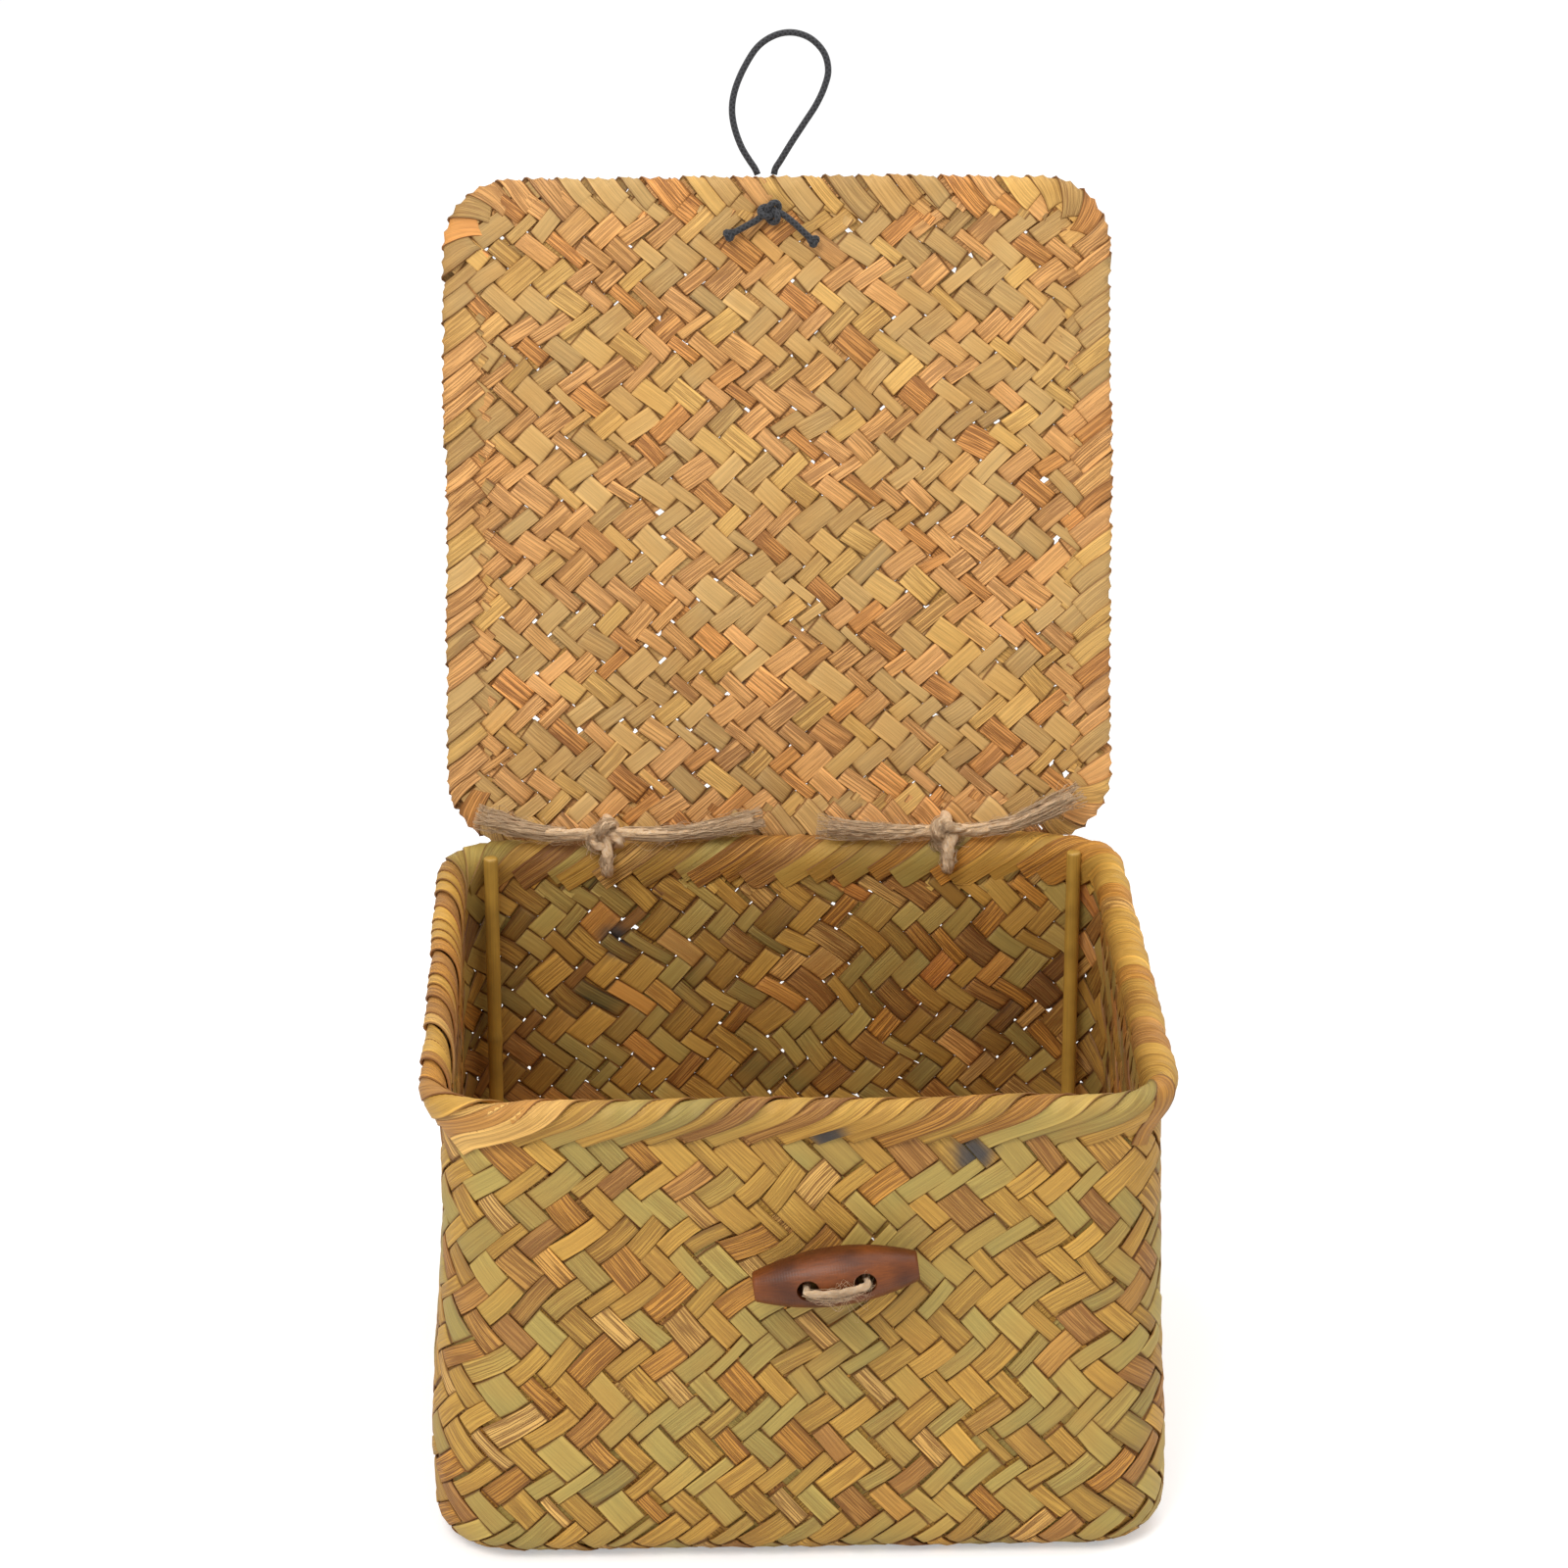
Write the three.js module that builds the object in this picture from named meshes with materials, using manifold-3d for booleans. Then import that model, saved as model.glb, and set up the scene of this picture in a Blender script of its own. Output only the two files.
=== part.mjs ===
// Woven seagrass box with a flat hinged lid, in millimetres, +Z up.
// The box stands on z = 0, centred on the Z axis, with its front towards -Y.
// The lid is shown open, leaning back a little past upright on two jute ties.
// An elastic loop on the lid's front edge hooks over a wooden toggle on the front wall.

import * as THREE from 'three';
import { mergeVertices } from 'three/addons/utils/BufferGeometryUtils.js';
import Module from 'manifold-3d';

const wasm = await Module();
wasm.setup();

const clearance = 0.3;

// Basket: plaited walls and base
const basketWidth = 176;
const basketDepth = 176;
const basketHeight = 123.5;
const basketCorner = 18;
const wallThickness = 2.4;
const baseThickness = 2.8;
const footRadius = 9;
const footSwell = 3.5;
const footSteps = 3;
// Height up the wall and how much of the foot's swell is left there
const swellShares = [
  [0.13, 0.97],
  [0.2, 1],
  [0.35, 0.7],
  [0.52, 0.36],
  [0.72, 0.09],
  [0.86, 0],
];

// Folded rim: strips that wrap over a hoop and back down the wall
const rimReachOut = 5.6;
const rimReachIn = 3.4;
const rimRollDepth = 5.5;
const rimOuterFold = 14;
const rimInnerFold = 7.5;
const rimCrownSkin = 1.9;
const rimCrownRoom = 1.4;
const hoopDiameter = 3;
const hoopSides = 6;

// Strips: how they lap along a folded edge
const lapPitch = 8.1;
const lapStep = 0.7;
const lapRunShare = 0.82;
const lapSlant = 0.85;
const lapStride = 9.6;
const foldSkin = 1.1;
const slotGap = 0.8;

// Corner stakes: bamboo rods inside the corners
const stakeDiameter = 3.9;
const stakeNodeSwell = 0.35;
const stakeNodeHeight = 2.4;
const stakeSides = 10;
const stakeNodeShares = [0.42, 0.66, 0.3, 0.55];

// Lid: a plaited panel with folded edges
const lidWidth = 181;
const lidLength = 180.8;
const lidCorner = 19;
const lidPanelThickness = 2.4;
const lidEdgeThickness = 4.4;
const lidEdgeSkin = 2.3;
const lidLapStep = 0.35;
const lidFold = 11;
const lidLean = THREE.MathUtils.degToRad(14.2);
const hingeDrop = 2.5;
const lidBehindAxis = 0.4;
const hingeInset = 2.0;

// Jute ties that hinge the lid
const tieDiameter = 3.4;
const tieHoleDiameter = 4.4;
const tieLeftX = -47.5;
const tieRightX = 45;
const tieHoleDrop = 10;
const tieLidHoleInset = 8;
const tieSides = 6;
const tieSteps = 30;
const tieKnotScale = 1.3;
const tieKnotStrand = 2.3;
const tailDiameter = 3.9;

// Elastic closing loop
const elasticDiameter = 1.8;
const elasticHoleInset = 9.4;
const elasticHoleDiameter = 4.6;
const elasticX = -1.6;
const elasticKnotScale = 0.95;
const elasticKnotStrand = 1.6;
const elasticBead = 2.9;

// Toggle: a turned wooden barrel with two holes
const toggleLength = 40;
const toggleDiameter = 14.4;
const toggleEndDiameter = 7.6;
const toggleEndChamfer = 0.8;
const toggleHoleDiameter = 4.4;
const toggleHoleSpacing = 14;
const toggleX = 7.6;
const toggleHeight = 80.2;
const toggleStandOff = 1;
const toggleTilt = THREE.MathUtils.degToRad(7.5);
const toggleTwineDiameter = 2.6;
const toggleKnotScale = 1.1;
const toggleKnotStrand = 2;

// Materials

function finish(colour, roughness, metalness = 0) {
  return new THREE.MeshStandardMaterial({ color: colour, roughness, metalness });
}

const seagrass = () => finish(0xb29a55, 0.75);
const driedSeagrass = () => finish(0xcda05f, 0.75);
const bamboo = () => finish(0xb8964a, 0.5);
const cane = () => finish(0xc09a62, 0.6);
const jute = () => finish(0xc2a27a, 0.95);
const blackElastic = () => finish(0x2b2a2c, 0.8);
const polishedWood = () => finish(0x5a2c20, 0.3);

// Shared geometry helpers

function geometryFrom(points, triangles) {
  const geometry = new THREE.BufferGeometry();
  const flat = points.flatMap((point) => [point.x, point.y, point.z]);
  geometry.setAttribute('position', new THREE.Float32BufferAttribute(flat, 3));
  geometry.setIndex(triangles);
  return facingOut(geometry);
}

// Swaps every triangle's winding where the enclosed volume comes out negative
function facingOut(geometry) {
  const position = geometry.getAttribute('position');
  const index = geometry.getIndex();
  const corner = [0, 1, 2].map(() => new THREE.Vector3());
  let volume = 0;
  for (let i = 0; i < index.count; i += 3) {
    corner.forEach((v, k) => v.fromBufferAttribute(position, index.getX(i + k)));
    volume += corner[0].dot(corner[1].clone().cross(corner[2]));
  }
  if (volume < 0) {
    for (let i = 0; i < index.count; i += 3) {
      const swap = index.getX(i + 1);
      index.setX(i + 1, index.getX(i + 2));
      index.setX(i + 2, swap);
    }
  }
  geometry.computeVertexNormals();
  return geometry;
}

// Quads between neighbouring rings of equal length
function bandTriangles(ringCount, ringLength, closed) {
  const triangles = [];
  const last = closed ? ringCount : ringCount - 1;
  for (let i = 0; i < last; i += 1) {
    for (let k = 0; k < ringLength; k += 1) {
      const a = i * ringLength + k;
      const b = i * ringLength + ((k + 1) % ringLength);
      const c = ((i + 1) % ringCount) * ringLength + k;
      const d = ((i + 1) % ringCount) * ringLength + ((k + 1) % ringLength);
      triangles.push(a, b, d, a, d, c);
    }
  }
  return triangles;
}

// A body through rings that come back to the first one, as round a torus
function closedLoft(rings) {
  return geometryFrom(rings.flat(), bandTriangles(rings.length, rings[0].length, true));
}

// A body through open rings, with each end closed by a fan about its middle
function cappedLoft(rings) {
  const points = rings.flat();
  const length = rings[0].length;
  const triangles = bandTriangles(rings.length, length, false);
  [0, rings.length - 1].forEach((ringIndex) => {
    const ring = rings[ringIndex];
    const middle = ring.reduce((sum, point) => sum.add(point), new THREE.Vector3());
    const hub = points.push(middle.divideScalar(length)) - 1;
    for (let k = 0; k < length; k += 1) {
      const a = ringIndex * length + k;
      const b = ringIndex * length + ((k + 1) % length);
      triangles.push(...(ringIndex === 0 ? [hub, b, a] : [hub, a, b]));
    }
  });
  return geometryFrom(points, triangles);
}

function solidFrom(geometry) {
  const bare = geometry.clone();
  bare.deleteAttribute('normal');
  bare.deleteAttribute('uv');
  const merged = mergeVertices(bare);
  return new wasm.Manifold(
    new wasm.Mesh({
      numProp: 3,
      vertProperties: Float32Array.from(merged.getAttribute('position').array),
      triVerts: Uint32Array.from(merged.getIndex().array),
    }),
  );
}

function geometryOf(solid) {
  const mesh = solid.getMesh();
  const geometry = new THREE.BufferGeometry();
  geometry.setAttribute('position', new THREE.BufferAttribute(mesh.vertProperties, 3));
  geometry.setIndex(new THREE.BufferAttribute(mesh.triVerts, 1));
  geometry.computeVertexNormals();
  return geometry;
}

function cut(geometry, tools) {
  const solid = tools.reduce((left, tool) => left.subtract(solidFrom(tool)), solidFrom(geometry));
  return geometryOf(solid);
}

function join(parts) {
  return geometryOf(parts.map(solidFrom).reduce((sum, part) => sum.add(part)));
}

function namedMesh(name, geometry, material) {
  const mesh = new THREE.Mesh(geometry, material);
  mesh.name = name;
  return mesh;
}

// A drill along local Y or Z, for cutting a round hole
function drill(diameter, length, centre, along) {
  const sides = 12;
  const tool = new THREE.CylinderGeometry(diameter / 2, diameter / 2, length, sides);
  if (along === 'z') {
    tool.rotateX(Math.PI / 2);
  }
  tool.translate(centre.x, centre.y, centre.z);
  return tool;
}

// The outline of a rectangle with round corners, counter-clockwise, walked by length
function roundedPath(halfX, halfY, radius) {
  const alongX = 2 * (halfX - radius);
  const alongY = 2 * (halfY - radius);
  const arc = (Math.PI / 2) * radius;
  const spans = [alongX, arc, alongY, arc, alongX, arc, alongY, arc];
  const total = spans.reduce((sum, span) => sum + span, 0);
  const centres = [
    [halfX - radius, radius - halfY],
    [halfX - radius, halfY - radius],
    [radius - halfX, halfY - radius],
    [radius - halfX, radius - halfY],
  ];
  return {
    length: total,
    at(distance) {
      let left = ((distance % total) + total) % total;
      let span = 0;
      while (span < spans.length - 1 && left > spans[span]) {
        left -= spans[span];
        span += 1;
      }
      const side = Math.floor(span / 2);
      const [cx, cy] = centres[side];
      const turn = span % 2 === 0 ? 0 : left / radius;
      const angle = (side - 1) * (Math.PI / 2) + turn;
      const back = span % 2 === 0 ? spans[span] - left : 0;
      const nx = Math.cos(angle);
      const ny = Math.sin(angle);
      return { x: cx + radius * nx + back * ny, y: cy + radius * ny - back * nx, nx, ny };
    },
  };
}

// A ring of points round a rounded rectangle at one height, for lofting a wall
function planRing(halfX, halfY, radius, z) {
  const cornerSteps = 5;
  const sideSteps = 3;
  const path = roundedPath(halfX, halfY, radius);
  const sides = [2 * (halfX - radius), 2 * (halfY - radius)];
  const arc = (Math.PI / 2) * radius;
  const ring = [];
  let start = 0;
  for (let side = 0; side < 4; side += 1) {
    const straight = sides[side % 2];
    for (let k = 0; k < sideSteps; k += 1) {
      ring.push(start + (straight * k) / sideSteps);
    }
    for (let k = 0; k < cornerSteps; k += 1) {
      ring.push(start + straight + (arc * k) / cornerSteps);
    }
    start += straight + arc;
  }
  return ring.map((distance) => {
    const spot = path.at(distance);
    return new THREE.Vector3(spot.x, spot.y, z);
  });
}

// Round tube along a closed curve
function closedTube(curve, diameter, steps, sides) {
  const frames = curve.computeFrenetFrames(steps, true);
  const rings = [];
  for (let i = 0; i < steps; i += 1) {
    const centre = curve.getPointAt(i / steps);
    const ring = [];
    for (let k = 0; k < sides; k += 1) {
      const angle = (2 * Math.PI * k) / sides;
      const across = frames.normals[i].clone().multiplyScalar((diameter / 2) * Math.cos(angle));
      const over = frames.binormals[i].clone().multiplyScalar((diameter / 2) * Math.sin(angle));
      ring.push(centre.clone().add(across).add(over));
    }
    rings.push(ring);
  }
  return closedLoft(rings);
}

// Round tube along an open curve, with flat ends
function openTube(curve, diameter, steps, sides) {
  const section = new THREE.Shape();
  for (let k = 0; k < sides; k += 1) {
    const angle = (2 * Math.PI * k) / sides;
    const x = (diameter / 2) * Math.cos(angle);
    const y = (diameter / 2) * Math.sin(angle);
    if (k === 0) {
      section.moveTo(x, y);
    } else {
      section.lineTo(x, y);
    }
  }
  section.closePath();
  const settings = { steps, bevelEnabled: false, extrudePath: curve };
  return new THREE.ExtrudeGeometry(section, settings);
}

// An overhand knot: a trefoil tube pulled tight, lying in its own XY plane
function knotGeometry(scale, strand) {
  const steps = 27;
  const sides = 5;
  const points = [];
  for (let i = 0; i < steps; i += 1) {
    const t = (2 * Math.PI * i) / steps;
    const x = Math.sin(t) + 2 * Math.sin(2 * t);
    const y = Math.cos(t) - 2 * Math.cos(2 * t);
    const z = -Math.sin(3 * t);
    points.push(new THREE.Vector3(x, y, z).multiplyScalar(scale));
  }
  return closedTube(new THREE.CatmullRomCurve3(points, true), strand, steps, sides);
}

// Adds points on a fold's section where a strip travels far between two of them, so that
// the leaning rings follow the round corners
function withStrides(section) {
  return section.flatMap((point, i) => {
    const next = section[(i + 1) % section.length];
    const count = Math.max(1, Math.ceil(Math.abs(next.travel - point.travel) / lapStride));
    const between = (a, b, share) => a + (b - a) * share;
    return Array.from({ length: count }, (_, k) => ({
      out: between(point.out, next.out, k / count),
      up: between(point.up, next.up, k / count),
      travel: between(point.travel, next.travel, k / count),
      face: point.face,
    }));
  });
}

// Strips folded over an edge. Each ring of the sweep leans along the edge as it goes round
// the fold, and every lap rises from under its neighbour and drops at its free edge.
// section: points round the fold, each with out, up, travel (how far along the strip)
// and face (the direction in which that point's outside looks, or none inside the slot)
// step: how far a lap's covered edge lies below its free edge
function foldedBorder(path, section, step) {
  const laps = Math.round(path.length / lapPitch);
  const pitch = path.length / laps;
  const rings = [];
  for (let lap = 0; lap < laps; lap += 1) {
    [
      { start: 0, sink: step },
      { start: lapRunShare * pitch, sink: 0 },
    ].forEach(({ start, sink }) => {
      const ring = section.map((point) => {
        const spot = path.at(lap * pitch + start + lapSlant * point.travel);
        const [faceOut, faceUp] = point.face ?? [0, 0];
        const out = point.out - sink * faceOut;
        const up = point.up - sink * faceUp;
        return new THREE.Vector3(spot.x + out * spot.nx, spot.y + out * spot.ny, up);
      });
      rings.push(ring);
    });
  }
  return closedLoft(rings);
}

// Sizes that several pieces share

const wallHalfX = (basketWidth - wallThickness) / 2;
const wallHalfY = (basketDepth - wallThickness) / 2;
const wallCorner = basketCorner - wallThickness / 2;
const rimMiddle = (rimReachOut - rimReachIn) / 2;
const slotHalf = wallThickness / 2 + slotGap;
const hoopDepth = rimCrownSkin + rimCrownRoom + hoopDiameter / 2;
const wallTop = basketHeight - hoopDepth - hoopDiameter / 2 - clearance;
const lidFace = hingeDrop + clearance;
const hingeY = basketDepth / 2 + hingeInset;
const hingeZ = basketHeight - hingeDrop;
const lidMiddle = -(lidFace + lidEdgeThickness / 2);
const lidSlotHalf = lidPanelThickness / 2 + clearance;
const shoulder = Math.SQRT1_2;

// How far the wall's outside stands out past the upper wall at a height
function swellAt(height) {
  const share = height / basketHeight;
  const stops = [[0, swellShares[0][1]], ...swellShares, [1, 0]];
  const next = stops.findIndex(([level]) => level >= share);
  if (next <= 0) {
    return footSwell * stops[0][1];
  }
  const [lowLevel, lowShare] = stops[next - 1];
  const [highLevel, highShare] = stops[next];
  const blend = (share - lowLevel) / (highLevel - lowLevel);
  return footSwell * (lowShare + blend * (highShare - lowShare));
}

// One ring of the wall's outside, moved inwards by an inset
function wallRing(height, z, inset) {
  const swell = swellAt(height);
  const halfX = basketWidth / 2 + swell - inset;
  const halfY = basketDepth / 2 + swell - inset;
  return planRing(halfX, halfY, basketCorner + swell - inset, z);
}

// Basket

function footRings(inset, floor) {
  const radius = footRadius - inset;
  const rings = [];
  for (let i = 0; i <= footSteps; i += 1) {
    const angle = (Math.PI / 2) * (i / footSteps);
    const across = footRadius - radius * Math.sin(angle);
    rings.push(wallRing(footRadius, floor + radius * (1 - Math.cos(angle)), across));
  }
  return rings;
}

function basketShell() {
  const levels = swellShares.map(([share]) => share * basketHeight);
  const outside = levels.map((height) => wallRing(height, height, 0));
  const inside = levels.map((height) => wallRing(height, height, wallThickness));
  const rings = [
    ...footRings(0, 0),
    ...outside,
    wallRing(wallTop, wallTop, 0),
    wallRing(wallTop, wallTop, wallThickness),
    ...inside.reverse(),
    ...footRings(wallThickness, baseThickness).reverse(),
  ];
  return cut(cappedLoft(rings), [...tieWallDrills(), ...toggleDrills()]);
}

function rimSection() {
  const cavityHalf = hoopDiameter / 2 + 3 * clearance;
  const cavityTravel = (Math.PI / 4) * hoopDepth;
  const skin = foldSkin;
  const roll = (rimReachOut + rimReachIn) / 2;
  const top = basketHeight;
  const quarter = (Math.PI / 4) * (roll + rimRollDepth);
  const legTravel = rimOuterFold - rimRollDepth;
  const crownTravel = legTravel + quarter;
  const innerTravel = crownTravel + quarter + rimInnerFold - rimRollDepth;
  const outerSide = [
    { out: slotHalf + skin, up: top - rimOuterFold, travel: 0, face: [1, 0] },
    { out: rimReachOut, up: top - rimRollDepth, travel: legTravel, face: [1, 0] },
    {
      out: rimMiddle + roll * shoulder,
      up: top - rimRollDepth * (1 - shoulder),
      travel: crownTravel - quarter / 2,
      face: [shoulder, shoulder],
    },
    { out: rimMiddle, up: top, travel: crownTravel, face: [0, 1] },
    {
      out: rimMiddle - roll * shoulder,
      up: top - rimRollDepth * (1 - shoulder),
      travel: crownTravel + quarter / 2,
      face: [-shoulder, shoulder],
    },
    { out: -rimReachIn, up: top - rimRollDepth, travel: crownTravel + quarter, face: [-1, 0] },
    { out: -slotHalf - skin, up: top - rimInnerFold, travel: innerTravel, face: [-1, 0] },
  ];
  const slotSide = [
    { out: -slotHalf, up: top - rimInnerFold, travel: innerTravel },
    { out: rimMiddle - cavityHalf, up: top - hoopDepth, travel: crownTravel + cavityTravel },
    { out: rimMiddle, up: top - rimCrownSkin, travel: crownTravel },
    { out: rimMiddle + cavityHalf, up: top - hoopDepth, travel: crownTravel - cavityTravel },
    { out: slotHalf, up: top - rimOuterFold, travel: 0 },
  ];
  return withStrides([...outerSide, ...slotSide]);
}

function rimBorder() {
  const path = roundedPath(wallHalfX, wallHalfY, wallCorner);
  return cut(foldedBorder(path, rimSection(), lapStep), tieWallDrills());
}

function rimHoop() {
  const halfX = wallHalfX + rimMiddle;
  const halfY = wallHalfY + rimMiddle;
  const centreLine = planRing(halfX, halfY, wallCorner + rimMiddle, basketHeight - hoopDepth);
  const rings = centreLine.map((centre, i) => {
    const before = centreLine[(i + centreLine.length - 1) % centreLine.length];
    const after = centreLine[(i + 1) % centreLine.length];
    const along = after.clone().sub(before).normalize();
    const outward = new THREE.Vector3(along.y, -along.x, 0);
    const ring = [];
    for (let k = 0; k < hoopSides; k += 1) {
      const angle = (2 * Math.PI * k) / hoopSides;
      const across = outward.clone().multiplyScalar((hoopDiameter / 2) * Math.cos(angle));
      const up = new THREE.Vector3(0, 0, (hoopDiameter / 2) * Math.sin(angle));
      ring.push(centre.clone().add(across).add(up));
    }
    return ring;
  });
  return closedLoft(rings);
}

function stakeGeometry(length, nodeShare) {
  const radius = stakeDiameter / 2;
  const node = length * nodeShare;
  const profile = [
    [0, 0],
    [radius, 0],
    [radius, node - stakeNodeHeight],
    [radius + stakeNodeSwell, node - stakeNodeHeight / 4],
    [radius + stakeNodeSwell, node + stakeNodeHeight / 4],
    [radius, node + stakeNodeHeight],
    [radius, length],
    [0, length],
  ];
  const points = profile.map(([x, y]) => new THREE.Vector2(x, y));
  return new THREE.LatheGeometry(points, stakeSides).rotateX(Math.PI / 2);
}

// How high the inside of the foot's curve lies above the floor, at a distance past the
// line where the curve starts: the upper end of the facet there
function footRise(beyond) {
  const radius = footRadius - wallThickness;
  const angle = Math.asin(Math.min(1, Math.max(0, beyond / radius)));
  const step = Math.PI / (2 * footSteps);
  return radius * (1 - Math.cos(Math.ceil(angle / step) * step));
}

// A stake stands in the round of each corner, with its foot just clear of the foot's curve
function cornerStakes() {
  const group = new THREE.Group();
  const inner = basketCorner - wallThickness;
  const fromCorner = inner - (stakeDiameter / 2 + stakeNodeSwell + 2 * clearance);
  const inset = basketCorner - fromCorner * shoulder;
  const floorCorner = basketCorner + swellAt(footRadius) - footRadius;
  const bottom = baseThickness + clearance + footRise(fromCorner + stakeDiameter / 2 - floorCorner);
  const top = basketHeight - rimInnerFold - clearance;
  const corners = [
    [-1, -1],
    [1, -1],
    [1, 1],
    [-1, 1],
  ];
  corners.forEach(([sideX, sideY], i) => {
    const geometry = stakeGeometry(top - bottom, stakeNodeShares[i]);
    const stake = namedMesh(`corner_stake_${i + 1}`, geometry, bamboo());
    stake.position.set(
      sideX * (basketWidth / 2 - inset),
      sideY * (basketDepth / 2 - inset),
      bottom,
    );
    group.add(stake);
  });
  return group;
}

// Lid, in a frame whose origin is on the hinge axis: x to the right, y along the lid away
// from the hinge, z out of the face that looks into the box when the lid is shut

function lidShape() {
  const inset = lidEdgeSkin + 2 * clearance;
  const ring = planRing(lidWidth / 2 - inset, lidLength / 2 - inset, lidCorner - inset, 0);
  const centreY = lidLength / 2 - lidBehindAxis;
  const shape = new THREE.Shape(ring.map((point) => new THREE.Vector2(point.x, point.y + centreY)));
  return shape;
}

function lidPanel() {
  const settings = { depth: lidPanelThickness, bevelEnabled: false };
  const geometry = new THREE.ExtrudeGeometry(lidShape(), settings);
  geometry.translate(0, 0, lidMiddle - lidPanelThickness / 2);
  return cut(geometry, lidDrills());
}

function lidSection() {
  const half = lidEdgeThickness / 2;
  const skin = foldSkin / 2;
  const turn = half * shoulder;
  const faceTravel = lidFold - half;
  const backTravel = faceTravel + Math.PI * half;
  const foldSide = [
    { out: -lidFold, up: lidSlotHalf + skin, travel: 0, face: [0, 0.5] },
    { out: -half, up: half, travel: faceTravel, face: [0, 1] },
    { out: 0, up: half - turn, travel: faceTravel + half, face: [1, 0] },
    { out: 0, up: turn - half, travel: backTravel - half, face: [1, 0] },
    { out: -half, up: -half, travel: backTravel, face: [0, -1] },
    { out: -lidFold, up: -lidSlotHalf - skin, travel: backTravel + faceTravel, face: [0, -0.5] },
  ];
  const slotSide = [
    { out: -lidFold, up: -lidSlotHalf, travel: backTravel + faceTravel },
    { out: -lidEdgeSkin, up: -lidSlotHalf, travel: backTravel },
    { out: -lidEdgeSkin, up: lidSlotHalf, travel: faceTravel },
    { out: -lidFold, up: lidSlotHalf, travel: 0 },
  ];
  return [...foldSide, ...slotSide];
}

function lidBorder() {
  const path = roundedPath(lidWidth / 2, lidLength / 2, lidCorner);
  const geometry = foldedBorder(path, lidSection(), lidLapStep);
  geometry.translate(0, lidLength / 2 - lidBehindAxis, lidMiddle);
  return cut(geometry, lidDrills());
}

function lidDrills() {
  const depth = 3 * lidEdgeThickness;
  const tieY = tieLidHoleInset;
  const elasticY = lidLength - lidBehindAxis - elasticHoleInset;
  return [
    drill(tieHoleDiameter, depth, new THREE.Vector3(tieLeftX, tieY, lidMiddle), 'z'),
    drill(tieHoleDiameter, depth, new THREE.Vector3(tieRightX, tieY, lidMiddle), 'z'),
    drill(elasticHoleDiameter, depth, new THREE.Vector3(elasticX, elasticY, lidMiddle), 'z'),
  ];
}

// Jute ties

function tieWallDrills() {
  const depth = 8 * wallThickness;
  const z = basketHeight - tieHoleDrop;
  return [tieLeftX, tieRightX].map((x) =>
    drill(tieHoleDiameter, depth, new THREE.Vector3(x, wallHalfY, z), 'y'),
  );
}

// A point of the lid's frame, in the basket's frame
function fromLid(x, y, z) {
  const turn = Math.PI / 2 - lidLean;
  return new THREE.Vector3(x, y, z)
    .applyAxisAngle(new THREE.Vector3(1, 0, 0), turn)
    .add(new THREE.Vector3(0, hingeY, hingeZ));
}

// Where a tie's knot sits: in front of the lid, on the rim's inner shoulder
function tieKnotCentre(x) {
  const lift = tieKnotScale + tieKnotStrand / 2 + clearance;
  return new THREE.Vector3(x, wallHalfY + rimMiddle - rimReachIn, basketHeight + lift);
}

function hingeTie(x) {
  const radius = tieDiameter / 2;
  const holeZ = basketHeight - tieHoleDrop;
  const innerY = wallHalfY - rimReachIn - clearance - radius;
  const outerY = wallHalfY + rimReachOut + clearance + radius;
  const mouth = fromLid(x, tieLidHoleInset, -lidFace);
  const back = fromLid(x, tieLidHoleInset, -lidFace - lidEdgeThickness);
  const bend = tieDiameter * 0.8;
  const points = [
    tieKnotCentre(x),
    mouth,
    back,
    new THREE.Vector3(x, back.y + bend, back.z - bend * 0.8),
    new THREE.Vector3(x, back.y + bend, basketHeight - hingeDrop - bend),
    new THREE.Vector3(x, back.y - bend * 0.2, holeZ + bend * 0.9),
    new THREE.Vector3(x, outerY, holeZ),
    new THREE.Vector3(x, wallHalfY, holeZ),
    new THREE.Vector3(x, innerY + radius, holeZ),
    new THREE.Vector3(x, innerY - clearance, holeZ + radius),
    new THREE.Vector3(x, innerY - clearance, basketHeight - rimRollDepth),
    new THREE.Vector3(x, innerY, basketHeight - radius),
  ];
  const ring = closedTube(new THREE.CatmullRomCurve3(points, true), tieDiameter, tieSteps, tieSides);
  const knot = knotGeometry(tieKnotScale, tieKnotStrand);
  const centre = tieKnotCentre(x);
  knot.translate(centre.x, centre.y, centre.z);
  return join([ring, knot]);
}

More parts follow.
